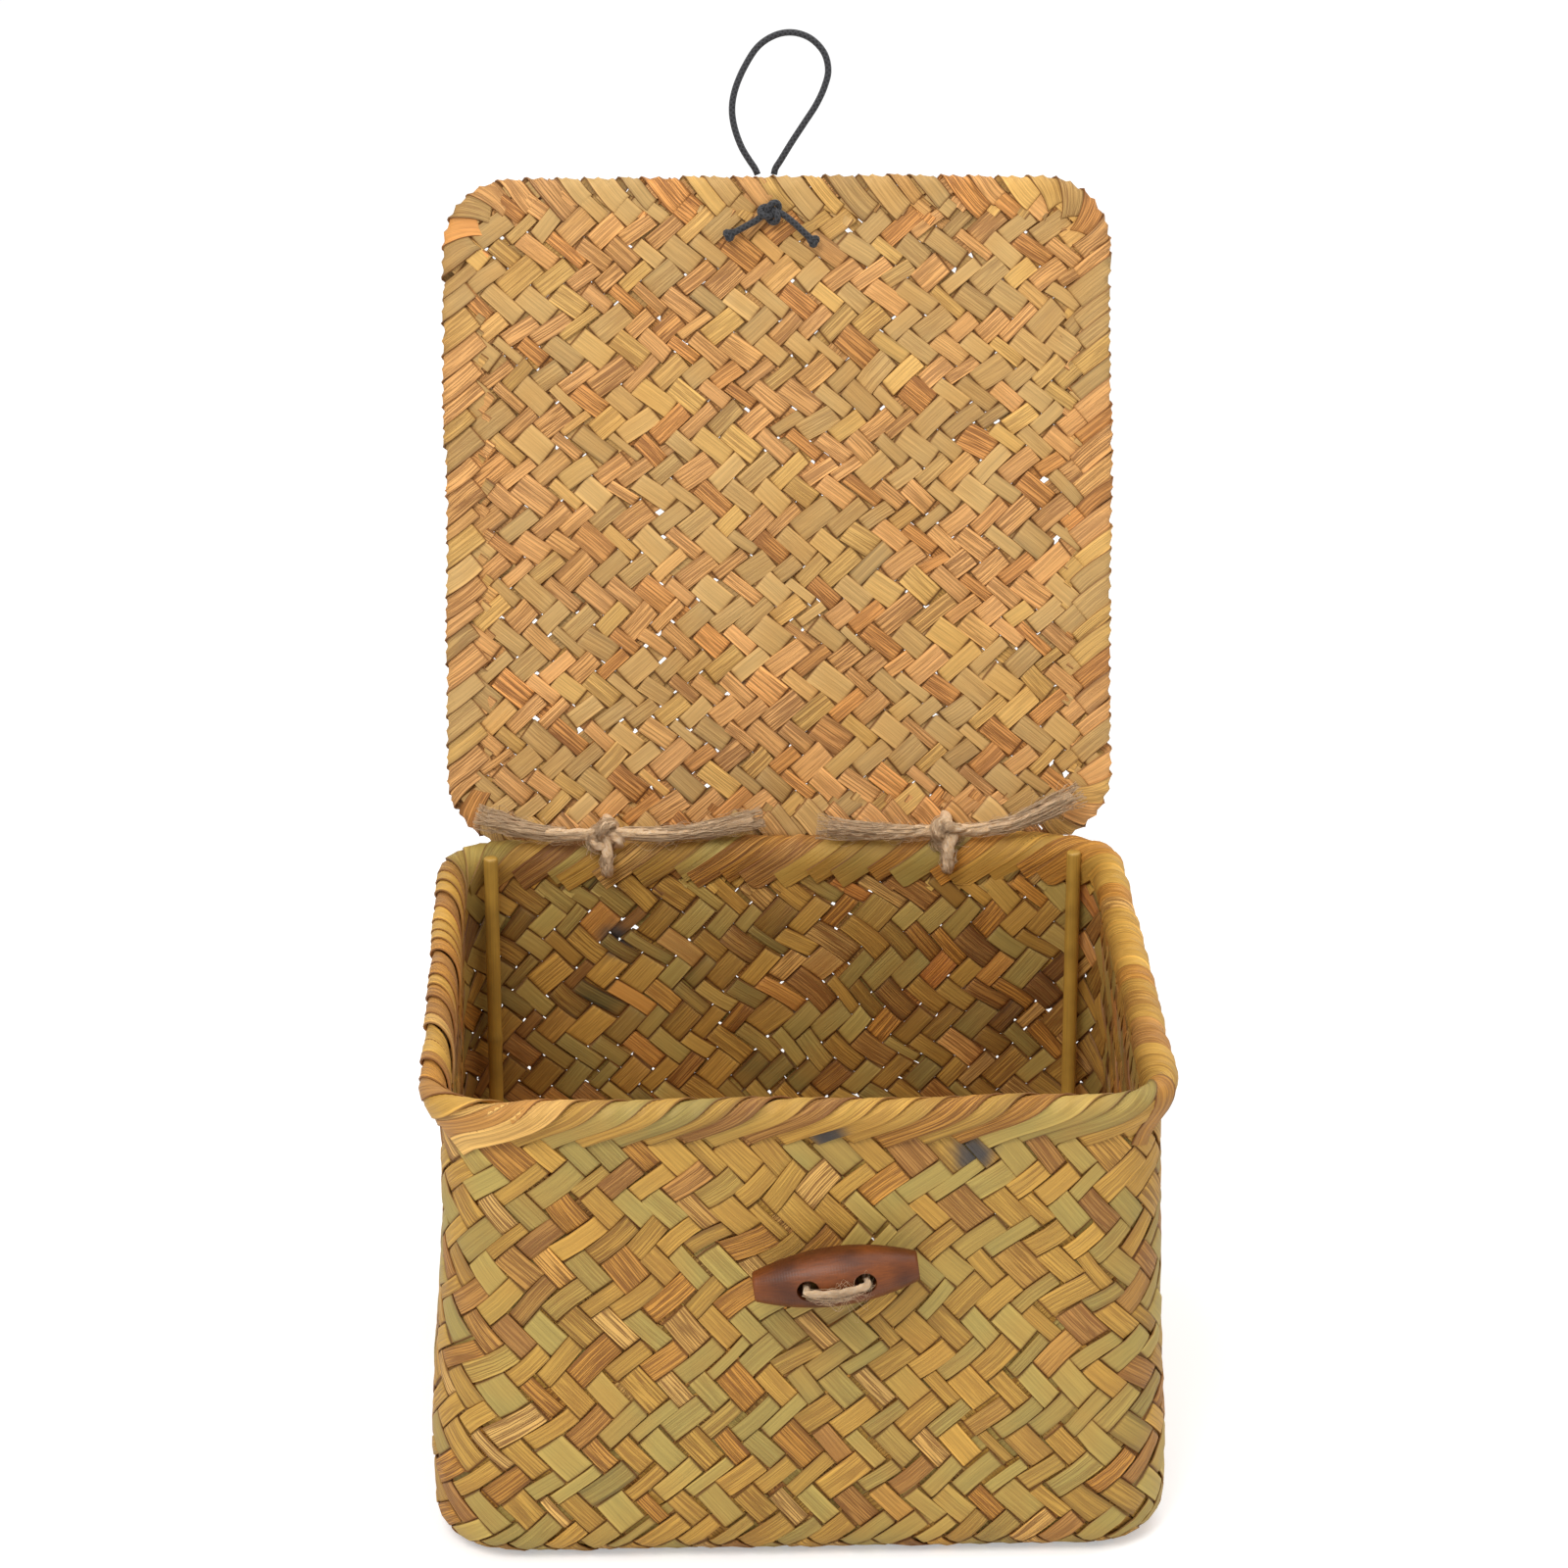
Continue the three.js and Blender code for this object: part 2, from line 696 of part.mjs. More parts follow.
// Free ends of the ties: points from the knot's centre, chosen by hand. They lie along the
// rim and lift towards the lid.
const tailRoutes = {
  tie_tail_left_outer: {
    x: tieLeftX,
    points: [
      [-5.4, 0, 0],
      [-8.8, 0.1, -0.2],
      [-12.2, 0.3, -0.2],
      [-15.6, 0.6, 0.1],
      [-19, 1, 0.5],
      [-22.4, 1.5, 1.1],
      [-25.8, 2.1, 1.8],
      [-29.2, 2.7, 2.6],
      [-32.6, 3.4, 3.4],
    ],
  },
  tie_tail_left_inner: {
    x: tieLeftX,
    points: [
      [5.4, 0, 0],
      [9.7, 0.1, -0.3],
      [14, 0.3, -0.4],
      [18.3, 0.6, -0.3],
      [22.6, 1, 0],
      [26.9, 1.5, 0.5],
      [31.2, 2, 1.1],
      [35.4, 2.5, 1.8],
      [39.6, 3, 2.6],
    ],
  },
  tie_tail_right_inner: {
    x: tieRightX,
    points: [
      [-5.4, 0, 0],
      [-8.8, 0, -0.2],
      [-12.2, 0.1, -0.4],
      [-15.6, 0.3, -0.4],
      [-19, 0.5, -0.3],
      [-22.4, 0.7, -0.2],
      [-25.8, 0.9, 0],
      [-29.2, 1.2, 0.2],
      [-32.6, 1.5, 0.5],
    ],
  },
  tie_tail_right_outer: {
    x: tieRightX,
    points: [
      [5.4, 0, 0],
      [9, 0.2, 0.1],
      [12.6, 0.5, 0.5],
      [16.2, 0.9, 1.1],
      [19.8, 1.5, 2],
      [23.4, 2.2, 3.2],
      [27, 3, 4.6],
      [30.5, 3.9, 6.2],
      [34, 4.8, 7.9],
    ],
  },
};

function tieTail({ x, points }) {
  const knot = tieKnotCentre(x);
  const spots = points.map((offset) => new THREE.Vector3(...offset).add(knot));
  return openTube(new THREE.CatmullRomCurve3(spots), tailDiameter, points.length - 1, 8);
}

// Elastic loop. Both routes are in the lid's frame, with y counted from the lid's front
// edge, as points chosen by hand.

const lidFront = lidLength - lidBehindAxis;
const elasticDepth = -(lidFace + lidEdgeThickness + clearance + elasticDiameter / 2);

const loopRoute = [
  [-4.9, 0.8],
  [-5.6, 2.4],
  [-7.2, 4.8],
  [-9.2, 8.2],
  [-11.1, 13.6],
  [-11.7, 18.3],
  [-11, 23.1],
  [-8.4, 29.4],
  [-4.2, 35.5],
  [0.8, 38.4],
  [5.4, 38.8],
  [9.9, 37.1],
  [13.4, 33.2],
  [14.4, 28.6],
  [13.4, 24.4],
  [11.2, 19.7],
  [7.9, 14.7],
  [4.4, 9.5],
  [1.2, 4.4],
  [-0.1, 2.4],
  [-0.5, 0.8],
];

function elasticLoop() {
  const points = loopRoute.map(([x, y]) => new THREE.Vector3(x, y, 0));
  const curve = new THREE.CatmullRomCurve3(points);
  return openTube(curve, elasticDiameter, 24, 8);
}

const tailLeftRoute = [
  [-2.4, -9.4, 0],
  [-5.6, -11.6, 0.2],
  [-9.6, -13.8, 0],
  [-12.8, -15.4, -0.4],
];
const tailRightRoute = [
  [0.8, -9.6, 0],
  [4.2, -12, 0.3],
  [7.2, -14.8, 0.1],
  [9.8, -17.2, -0.4],
];

function elasticTail(route, height) {
  const knot = new THREE.Vector3(elasticX, lidFront - elasticHoleInset, height);
  const along = route.map(([x, y, z]) => new THREE.Vector3(x, lidFront + y, height + z));
  const points = [knot, ...along];
  const tube = openTube(new THREE.CatmullRomCurve3(points), elasticDiameter, 6, 6);
  const bead = new THREE.SphereGeometry(elasticBead / 2, 8, 5);
  const end = points[points.length - 1];
  bead.translate(end.x, end.y, end.z);
  return [tube, bead];
}

// One leg of the elastic: from the lid's edge over the outside, through the hole, to the knot
function elasticLeg(edgeX, holeX, height) {
  const holeY = lidFront - elasticHoleInset;
  const points = [
    new THREE.Vector3(edgeX, lidFront, elasticDepth),
    new THREE.Vector3((edgeX + holeX) / 2, (lidFront + holeY) / 2, elasticDepth),
    new THREE.Vector3(holeX, holeY + elasticDiameter / 4, elasticDepth + elasticDiameter / 4),
    new THREE.Vector3(holeX, holeY, lidMiddle),
    new THREE.Vector3(elasticX, holeY, height),
  ];
  return openTube(new THREE.CatmullRomCurve3(points), elasticDiameter, 9, 6);
}

function elasticKnot() {
  const knotHeight = -lidFace + clearance + elasticKnotScale + elasticKnotStrand / 2;
  const tailHeight = -lidFace + clearance + elasticBead / 2 + clearance;
  const knot = knotGeometry(elasticKnotScale, elasticKnotStrand);
  knot.translate(elasticX, lidFront - elasticHoleInset, knotHeight);
  const spread = elasticDiameter / 2 + clearance / 2;
  return join([
    knot,
    elasticLeg(loopRoute[0][0], elasticX - spread, knotHeight),
    elasticLeg(loopRoute[loopRoute.length - 1][0], elasticX + spread, knotHeight),
    ...elasticTail(tailLeftRoute, tailHeight),
    ...elasticTail(tailRightRoute, tailHeight),
  ]);
}

// Toggle, in a frame whose origin is the barrel's middle, x along the barrel, y to the wall

const toggleCentreY = -(
  basketDepth / 2 + swellAt(toggleHeight) + toggleStandOff + toggleDiameter / 2
);

function toggleProfile() {
  const steps = 10;
  const half = toggleLength / 2;
  const end = toggleEndDiameter / 2;
  const belly = toggleDiameter / 2 - end;
  const points = [new THREE.Vector2(0, -half), new THREE.Vector2(end - toggleEndChamfer, -half)];
  for (let i = 0; i <= steps; i += 1) {
    const share = (2 * i) / steps - 1;
    const along = share * (half - toggleEndChamfer);
    points.push(new THREE.Vector2(end + belly * (1 - share * share), along));
  }
  points.push(new THREE.Vector2(end - toggleEndChamfer, half), new THREE.Vector2(0, half));
  return points;
}

function toggleBarrel() {
  const barrel = new THREE.LatheGeometry(toggleProfile(), 24).rotateZ(-Math.PI / 2);
  const holes = [-1, 1].map((side) =>
    drill(
      toggleHoleDiameter,
      2 * toggleDiameter,
      new THREE.Vector3((side * toggleHoleSpacing) / 2, 0, 0),
      'y',
    ),
  );
  return cut(barrel, holes);
}

// A point of the toggle's frame, in the basket's frame
function fromToggle(x, y, z) {
  return new THREE.Vector3(x, y, z)
    .applyAxisAngle(new THREE.Vector3(0, 1, 0), -toggleTilt)
    .add(new THREE.Vector3(toggleX, toggleCentreY, toggleHeight));
}

function toggleDrills() {
  const depth = 8 * wallThickness;
  return [-1, 1].map((side) => {
    const centre = fromToggle((side * toggleHoleSpacing) / 2, 0, 0);
    centre.y = -wallHalfY;
    return drill(toggleHoleDiameter, depth, centre, 'y');
  });
}

// Twine that runs out of one hole, across the barrel and into the other, and is knotted
// behind the wall
function toggleTwine() {
  const half = toggleHoleSpacing / 2;
  const radius = toggleTwineDiameter / 2;
  const front = -(toggleDiameter / 2 + clearance + radius);
  const wallFace = toggleDiameter / 2 + toggleStandOff;
  const back = wallFace + wallThickness + clearance + radius;
  const points = [
    new THREE.Vector3(0, front, 0),
    new THREE.Vector3(-half + 2 * radius, front + clearance, 0),
    new THREE.Vector3(-half, front + 1.2 * radius, 0),
    new THREE.Vector3(-half, 0, 0),
    new THREE.Vector3(-half, wallFace, 0),
    new THREE.Vector3(-half, back - radius, 0),
    new THREE.Vector3(-half + 2 * radius, back + clearance, 0),
    new THREE.Vector3(0, back + clearance, 0),
    new THREE.Vector3(half - 2 * radius, back + clearance, 0),
    new THREE.Vector3(half, back - radius, 0),
    new THREE.Vector3(half, wallFace, 0),
    new THREE.Vector3(half, 0, 0),
    new THREE.Vector3(half, front + 1.2 * radius, 0),
    new THREE.Vector3(half - 2 * radius, front + clearance, 0),
  ];
  const ring = closedTube(new THREE.CatmullRomCurve3(points, true), toggleTwineDiameter, 32, 6);
  const knot = knotGeometry(toggleKnotScale, toggleKnotStrand).rotateX(Math.PI / 2);
  const lift = toggleKnotScale + toggleKnotStrand / 2;
  knot.translate(0, wallFace + wallThickness + clearance + lift, 0);
  return join([ring, knot]);
}

// Assembly

function buildBasket() {
  const group = new THREE.Group();
  group.add(
    namedMesh('woven_basket', basketShell(), seagrass()),
    namedMesh('rim_border', rimBorder(), seagrass()),
    namedMesh('rim_hoop', rimHoop(), cane()),
    cornerStakes(),
    namedMesh('hinge_tie_left', hingeTie(tieLeftX), jute()),
    namedMesh('hinge_tie_right', hingeTie(tieRightX), jute()),
  );
  Object.entries(tailRoutes).forEach(([name, route]) => {
    group.add(namedMesh(name, tieTail(route), jute()));
  });
  return group;
}

function buildLid() {
  const group = new THREE.Group();
  group.add(
    namedMesh('lid_panel', lidPanel(), driedSeagrass()),
    namedMesh('lid_border', lidBorder(), driedSeagrass()),
    namedMesh('elastic_knot', elasticKnot(), blackElastic()),
  );
  const loop = namedMesh('elastic_loop', elasticLoop(), blackElastic());
  loop.position.set(0, lidFront, elasticDepth);
  group.add(loop);
  group.position.set(0, hingeY, hingeZ);
  group.rotation.x = Math.PI / 2 - lidLean;
  return group;
}

function buildToggle() {
  const group = new THREE.Group();
  group.add(
    namedMesh('toggle', toggleBarrel(), polishedWood()),
    namedMesh('toggle_twine', toggleTwine(), jute()),
  );
  group.position.set(toggleX, toggleCentreY, toggleHeight);
  group.rotation.y = -toggleTilt;
  return group;
}

const box = new THREE.Group();
box.add(buildBasket(), buildLid(), buildToggle());

export default box;
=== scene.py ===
"""Woven lidded box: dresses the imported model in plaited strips, twine, elastic and wood."""
import math

import bpy
import numpy as np
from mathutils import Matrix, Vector


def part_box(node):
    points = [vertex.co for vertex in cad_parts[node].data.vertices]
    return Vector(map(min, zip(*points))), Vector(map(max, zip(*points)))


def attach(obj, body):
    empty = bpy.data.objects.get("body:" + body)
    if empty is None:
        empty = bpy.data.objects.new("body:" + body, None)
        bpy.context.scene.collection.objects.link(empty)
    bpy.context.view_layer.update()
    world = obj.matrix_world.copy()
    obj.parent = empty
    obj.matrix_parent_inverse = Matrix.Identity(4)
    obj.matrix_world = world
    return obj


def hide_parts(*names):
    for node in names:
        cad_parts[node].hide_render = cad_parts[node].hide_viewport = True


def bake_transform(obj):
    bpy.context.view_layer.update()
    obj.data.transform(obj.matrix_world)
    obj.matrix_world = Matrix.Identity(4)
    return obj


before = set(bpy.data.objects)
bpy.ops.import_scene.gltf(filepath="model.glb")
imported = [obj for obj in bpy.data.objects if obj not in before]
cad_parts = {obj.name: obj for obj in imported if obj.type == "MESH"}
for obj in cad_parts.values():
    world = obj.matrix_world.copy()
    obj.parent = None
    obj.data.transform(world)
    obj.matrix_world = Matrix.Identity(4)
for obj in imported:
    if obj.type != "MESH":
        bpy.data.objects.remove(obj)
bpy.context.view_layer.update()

bl_info = {
    "name": "Woven lidded box",
    "version": (1, 0, 0),
    "blender": (4, 5, 0),
    "location": "3D View > Sidebar > Lidded box",
    "description": "Plaited seagrass box with a hinged lid, jute ties and a wooden toggle",
    "category": "Add Mesh",
}

MM = 0.001
# Edges that bend more than this are drawn sharp
SHARP = math.radians(35)

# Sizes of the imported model, in millimetres
BOX_HEIGHT = 123.5
WALL_HALF = 86.8
WALL_CORNER = 16.8
FOOT_RADIUS = 9.0
FOOT_MIDDLE = 7.8
FOOT_SWELL = 3.5
SWELL_LEVELS = (0.0, 0.13, 0.2, 0.35, 0.52, 0.72, 0.86, 1.0)
SWELL_SHARES = (0.97, 0.97, 1.0, 0.7, 0.36, 0.09, 0.0, 0.0)
LID_HALF_X = 90.5
LID_HALF_Y = 90.4
LID_CORNER = 19.0
LID_BEHIND_AXIS = 0.4
LID_MIDDLE = -5.0
LID_HALF_THICKNESS = 2.2
LID_LEAN = math.radians(14.2)
LID_FRONT = 2 * LID_HALF_Y - LID_BEHIND_AXIS
HINGE = np.array((0.0, 90.0, 121.0))
TIE_X = {"left": -47.5, "right": 45.0}
TIE_LID_INSET = 6.4
RIM_INWARD = 3.4
RIM_OUTWARD = 5.6
WALL_THICKNESS = 2.4
# Room between a cord and the strips that it passes
CLEARANCE = 0.3
ELASTIC_X = -1.6
ELASTIC_DEPTH = -8.4
ELASTIC_HOLE_INSET = 9.4
TOGGLE_CENTRE = np.array((7.6, -96.849, 80.2))
TOGGLE_TILT = math.radians(7.5)
TOGGLE_HOLE_SPACING = 14.0
TOGGLE_END_RADIUS = 3.8
HOOP_RADIUS = 1.5
BASE_HALF = 85.0
# Sizes that are only drawn, in millimetres. The ties' holes stand 2 mm higher and the stakes
# at the back 6 mm taller than in the model, so that both show as in the photograph.
WALL_TOP = 116.0
FLANGE = 4.5
RIM_FOLD_FOOT = 112.2
TIE_HOLE_Z = 115.5
BACK_STAKE_RISE = 6.0
STAKE_RADIUS = 1.93
CANE_RADIUS = 1.45
HOOP_CORNER = 17.5
KNOT_Y = 84.1
KNOT_ABOVE_RIM = 2.75
KNOT_SIZE = 1.35
KNOT_STRAND_RADIUS = 1.45
ELASTIC_KNOT_SIZE = 0.98
ELASTIC_BEAD_SIZE = 0.42
ELASTIC_KNOT_Z = -0.75
ELASTIC_TAIL_Z = -1.0
TWINE_KNOT_SIZE = 1.1
TWINE_KNOT_STRAND_RADIUS = 1.05
BASE_CORNER = 15.0
BASE_FLAT_HALF = 82.2
BASE_LEVEL = 2.3
BASE_PITCH = 5.5
LID_PANEL_INSET = 2.6
LID_FOLD_REACH = 14.0
LID_CORNER_GAP = 12.0
LID_CORNER_PITCH = 7.6
RIM_START = 107.0
# Lines between strips, either side of the middle, and the lap with a charred mark
BASE_LINES = 32
LID_LINES = 36
RIM_CHARRED_LAP = 10
# Two ends that don't lie down: places along the rim from the start of its front side
LOOSE_END = -11.6
HANGING_END = 152.0
# Charred marks on the wall: one outside in front, one inside at the back
CHARRED = np.array(((41.0, -88.0, 107.5), (-45.0, 86.0, 94.0)))
CHARRED_RADIUS = 5.2


# Settings

def linear(code):
    """Linear RGBA of an sRGB hex colour"""
    parts = [int(code[k:k + 2], 16) / 255 for k in (1, 3, 5)]
    return tuple(p / 12.92 if p <= 0.04045 else ((p + 0.055) / 1.055) ** 2.4 for p in parts) + (1,)


def length_setting(name, description, default):
    return bpy.props.FloatProperty(
        name=name, description=description, default=default, min=0, unit="LENGTH", precision=5
    )


def lean_setting(name, description, default):
    return bpy.props.FloatProperty(
        name=name, description=description, default=math.radians(default), subtype="ANGLE"
    )


def colour_setting(name, description, code):
    return bpy.props.FloatVectorProperty(
        name=name, description=description, size=4, default=linear(code), min=0, max=1,
        subtype="COLOR",
    )


class BoxSizes(bpy.types.PropertyGroup):
    """Sizes of the strips and cords"""

    wall_strips: bpy.props.IntProperty(
        name="Wall strips", description="Strips of each lean round the wall", default=82, min=40,
    )
    wall_falling: lean_setting("Falling lean", "Angle of the wall's falling strips", 48)
    wall_rising: lean_setting("Rising lean", "Angle of the wall's rising strips", 40)
    lid_pitch: length_setting("Lid strips", "Mean width of a strip in the lid", 0.0053)
    lid_lean: lean_setting("Lid lean", "Angle of the lid's strips", 39.5)
    lid_fold: length_setting("Lid fold", "How far the folded strips reach over the lid", 0.0082)
    strip_thickness: length_setting("Strip thickness", "Thickness of a dry strip", 0.00055)
    strip_gap: length_setting("Strip gap", "Gap between neighbouring strips of the wall", 0.00002)
    plait_depth: length_setting("Plait depth", "How far a strip rises over the others", 0.00046)
    tie_diameter: length_setting("Tie twine", "Diameter of the ties' twine", 0.0034)
    tail_diameter: length_setting("Tail twine", "Diameter of the loose twine", 0.0039)
    elastic_diameter: length_setting("Elastic", "Diameter of the elastic", 0.0018)
    toggle_length: length_setting("Toggle length", "Length of the toggle", 0.04)
    toggle_diameter: length_setting("Toggle diameter", "Diameter of the toggle", 0.0144)


class BoxColours(bpy.types.PropertyGroup):
    """Colours of the finishes"""

    olive: colour_setting("Olive strip", "Green dry seagrass", "#AE964E")
    yellow: colour_setting("Yellow strip", "Yellow dry seagrass", "#C69944")
    tan: colour_setting("Tan strip", "Orange dry seagrass", "#CA8E3B")
    brown: colour_setting("Brown strip", "Brown dry seagrass", "#B27F40")
    pale: colour_setting("Pale strip", "Pale streaky seagrass", "#DDAE60")
    lid_tan: colour_setting("Lid tan strip", "Sun-dried seagrass of the lid", "#E7AB67")
    lid_olive: colour_setting("Lid olive strip", "Greenish seagrass of the lid", "#C9A162")
    lid_orange: colour_setting("Lid orange strip", "Orange seagrass of the lid", "#DF9A52")
    # Brown of the splits and cut edges, also used as painted shade in the gaps between strips and where a
    # strip dips under a neighbour
    edge_brown_and_shade: colour_setting("Strip edge", "Dark edge and streaks of a strip", "#6A360B")
    bamboo: colour_setting("Bamboo", "Split bamboo stakes", "#C79B42")
    jute: colour_setting("Jute", "Raw jute twine", "#F8CF9C")
    toggle: colour_setting("Toggle", "Dark stained wood", "#54290F")


def sizes():
    return bpy.context.scene.lidded_box_sizes


def colours():
    return bpy.context.scene.lidded_box_colours


# Meshes

def unit(vectors):
    return vectors / np.linalg.norm(vectors, axis=-1, keepdims=True)


def ring_faces(turns, sides, closed):
    """Quads between neighbouring rings, and between matching points across an end's ring"""
    ring = np.arange(turns if closed else turns - 1)[:, None] * sides
    following = (ring + sides) % (turns * sides)
    k = np.arange(sides)[None, :]
    k_next = (k + 1) % sides
    band = np.stack([ring + k, ring + k_next, following + k_next, following + k], -1)
    faces = band.reshape(-1, 4)
    if closed:
        return faces
    k = np.arange(sides // 2 - 1)
    cap = np.stack([k, k + 1, sides - 2 - k, sides - 1 - k], -1)
    return np.vstack([faces, cap[:, ::-1], cap + (turns - 1) * sides])


def facing_out(points, faces):
    """Turns the faces round where the volume that they close comes out negative"""
    a, b, c, d = (points[faces[:, k]] for k in range(4))
    volume = np.sum(a * (np.cross(b, c) + np.cross(c, d)))
    return faces[:, ::-1] if volume < 0 else faces


def placed(name, data, place=(0, 0, 0), look=None):
    """A new object in the scene. A look is the direction in which its -Z axis points."""
    thing = bpy.data.objects.new(name, data)
    bpy.context.scene.collection.objects.link(thing)
    thing.location = place
    if look:
        thing.rotation_euler = look.to_track_quat("-Z", "Y").to_euler()
    return thing


class Bundle:
    """Closed strips and tubes, each a stack of rings in millimetres, that make one mesh"""

    def __init__(self):
        self.points = []
        self.faces = []
        self.values = {}
        self.count = 0

    def add(self, rings, closed=False, **values):
        turns, sides = rings.shape[:2]
        points = rings.reshape(-1, 3)
        faces = facing_out(points - points.mean(axis=0), ring_faces(turns, sides, closed))
        self.points.append(points)
        self.faces.append(faces + self.count)
        self.count += len(points)
        for name, value in values.items():
            spread = np.broadcast_to(value, (turns, sides)).ravel()
            self.values.setdefault(name, []).append(spread)

    def tube(self, path, radius, sides, reference, closed=False, **plies):
        rings, along, around = tube_rings(path, radius, sides, reference, closed, **plies)
        self.add(rings, closed, along=along, around=around)

    def mesh(self, name):
        mesh = bpy.data.meshes.new(name)
        mesh.from_pydata((np.vstack(self.points) * MM).tolist(), [], np.vstack(self.faces).tolist())
        return mesh

    def piece(self, name, material, body, slot, nodes=(), sharp=None):
        """Puts the mesh in the scene, riding on its body and standing for its nodes"""
        mesh = self.mesh(name)
        mesh.materials.append(material)
        for key, parts in self.values.items():
            layer = mesh.attributes.new(key, "FLOAT", "POINT")
            layer.data.foreach_set("value", np.concatenate(parts).astype(np.float32))
        mesh.polygons.foreach_set("use_smooth", np.ones(len(mesh.polygons), bool))
        if sharp:
            mesh.set_sharp_from_angle(angle=sharp)
        mesh.validate()
        mesh.update()
        piece = placed(name, mesh)
        if body:
            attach(piece, body)
        if nodes:
            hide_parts(*nodes)
        return piece


def lengths_along(path):
    """Each point's distance from the start of a path, along it"""
    return np.concatenate([[0], np.cumsum(np.linalg.norm(np.diff(path, axis=0), axis=1))])


def read_along(at, lengths, points):
    """Points at new lengths along a path whose own points stand at lengths"""
    return np.stack([np.interp(at, lengths, points[:, k]) for k in range(points.shape[1])], -1)


def smooth_path(points, spacing, closed=False):
    """Centripetal Catmull-Rom curve through points, cut into equal lengths near a spacing"""
    p = np.asarray(points, float)
    if closed:
        p = np.vstack([p[-1:], p, p[:2]])
    else:
        p = np.vstack([2 * p[:1] - p[1:2], p, 2 * p[-1:] - p[-2:-1]])
    a, b, c, d = p[:-3], p[1:-2], p[2:-1], p[3:]
    first, middle, last = (
        np.sqrt(np.linalg.norm(end - start, axis=1))[:, None] for start, end in ((a, b), (b, c), (c, d))
    )
    leave = ((b - a) / first - (c - a) / (first + middle) + (c - b) / middle) * middle
    arrive = ((c - b) / middle - (d - b) / (middle + last) + (d - c) / last) * middle
    t = np.linspace(0, 1, 24, endpoint=False)[None, :, None]
    curve = (
        (2 * t ** 3 - 3 * t ** 2 + 1) * b[:, None]
        + (t ** 3 - 2 * t ** 2 + t) * leave[:, None]
        + (3 * t ** 2 - 2 * t ** 3) * c[:, None]
        + (t ** 3 - t ** 2) * arrive[:, None]
    ).reshape(-1, 3)
    curve = np.vstack([curve, p[-2] if not closed else p[1]])
    length = lengths_along(curve)
    count = max(4, round(length[-1] / spacing) + 1)
    even = read_along(np.linspace(0, length[-1], count), length, curve)
    return even[:-1] if closed else even


def path_frames(path, reference, closed=False):
    """Each point's tangent, the side square to it and the reference, and the square of both"""
    if closed:
        tangent = unit(np.roll(path, -1, axis=0) - np.roll(path, 1, axis=0))
    else:
        tangent = unit(np.gradient(path, axis=0))
    side = unit(np.cross(tangent, np.asarray(reference, float)))
    return tangent, side, np.cross(side, tangent)


def tube_rings(path, radius, sides, reference, closed=False, plies=0, twist=0.0, relief=0.0):
    """A round section carried along a path. Plies press it into lobes that wind along it:
    radius x (1 - relief + relief x cos(plies x (angle - twist x length)))"""
    tangent, side, up = path_frames(path, reference, closed)
    angle = (2 * np.pi * np.arange(sides) / sides)[None, :]
    along = lengths_along(path)[:, None]
    radii = np.broadcast_to(np.reshape(radius, (-1, 1)), (len(path), sides))
    if plies:
        radii = radii * (1 - relief + relief * np.cos(plies * (angle - twist * along)))
    rings = path[:, None] + radii[..., None] * (
        np.cos(angle)[..., None] * side[:, None] + np.sin(angle)[..., None] * up[:, None]
    )
    return rings, along + 0 * angle, angle + 0 * along


# Plaiting

# One strip's section: across it as a share of half its width, and out of it as a share of
# half its thickness. Five points make the outside and three the inside.
RING_ACROSS = np.array((-1.0, -0.94, 0.0, 0.94, 1.0, 0.95, 0.0, -0.95))
RING_OUT = np.array((0.2, 1.0, 1.0, 1.0, 0.2, -1.0, -1.0, -1.0))
RING_INNER = np.array((0.0, 0.0, 0.0, 0.0, 0.0, 1.0, 1.0, 1.0))
# Edge is 1 at a strip's sides: the material draws its brown edge line there, which also paints the shade in
# the gaps between strips
RING_EDGE = np.array((1.0, 0.94, 0.0, 0.94, 1.0, 1.0, 0.0, 1.0))
# How far a float is tilted, moved aside and slanted, as spreads in millimetres
FLOAT_SPREADS = (0.11, 0.07, 0.24)
# How far a strip is rounded across, and the most that a float bulges, in millimetres
STRIP_CROWN = 0.15
FLOAT_BULGE = 0.45
SIDES = {"falling": -1, "rising": 1}
SHORTEST_STRIP = 5.0
# Where rings stand over two crossings, closest where the strip dips under the next one
FLOAT_STEPS = np.array((0, 0.07, 0.16, 0.32, 1, 1.68, 1.84, 1.93))


def edges_of_strips(rng, low, high, pitch, period=0, shift=0.0):
    """Lines between neighbouring strips: even spacing, each line moved at random by up to
    0.23 of it, so that widths vary but rows keep their place"""
    index = np.arange(low, high + 1)
    jitter = rng.uniform(-0.23, 0.23, period or len(index))
    return pitch * (index + jitter[index % len(jitter)] - shift)


def float_samples(start, stop, phase):
    """Ring places between two running numbers, the same over each float"""
    first, last = math.floor((start + phase) / 2), math.ceil((stop + phase) / 2)
    grid = (2 * np.arange(first, last + 1)[:, None] + FLOAT_STEPS).ravel() - phase
    inside = grid[(grid > start + 0.08) & (grid < stop - 0.08)]
    return np.concatenate([[start], inside, [stop]])


def per_float(values, turn):
    """The value of the float that each place is on"""
    return values[np.floor(turn / 2 + 1e-6).astype(int) % len(values)]


def own(side):
    """Place of a lean in a pair: 0 for falling strips, whose side is -1, and 1 for rising ones"""
    return (side + 1) // 2


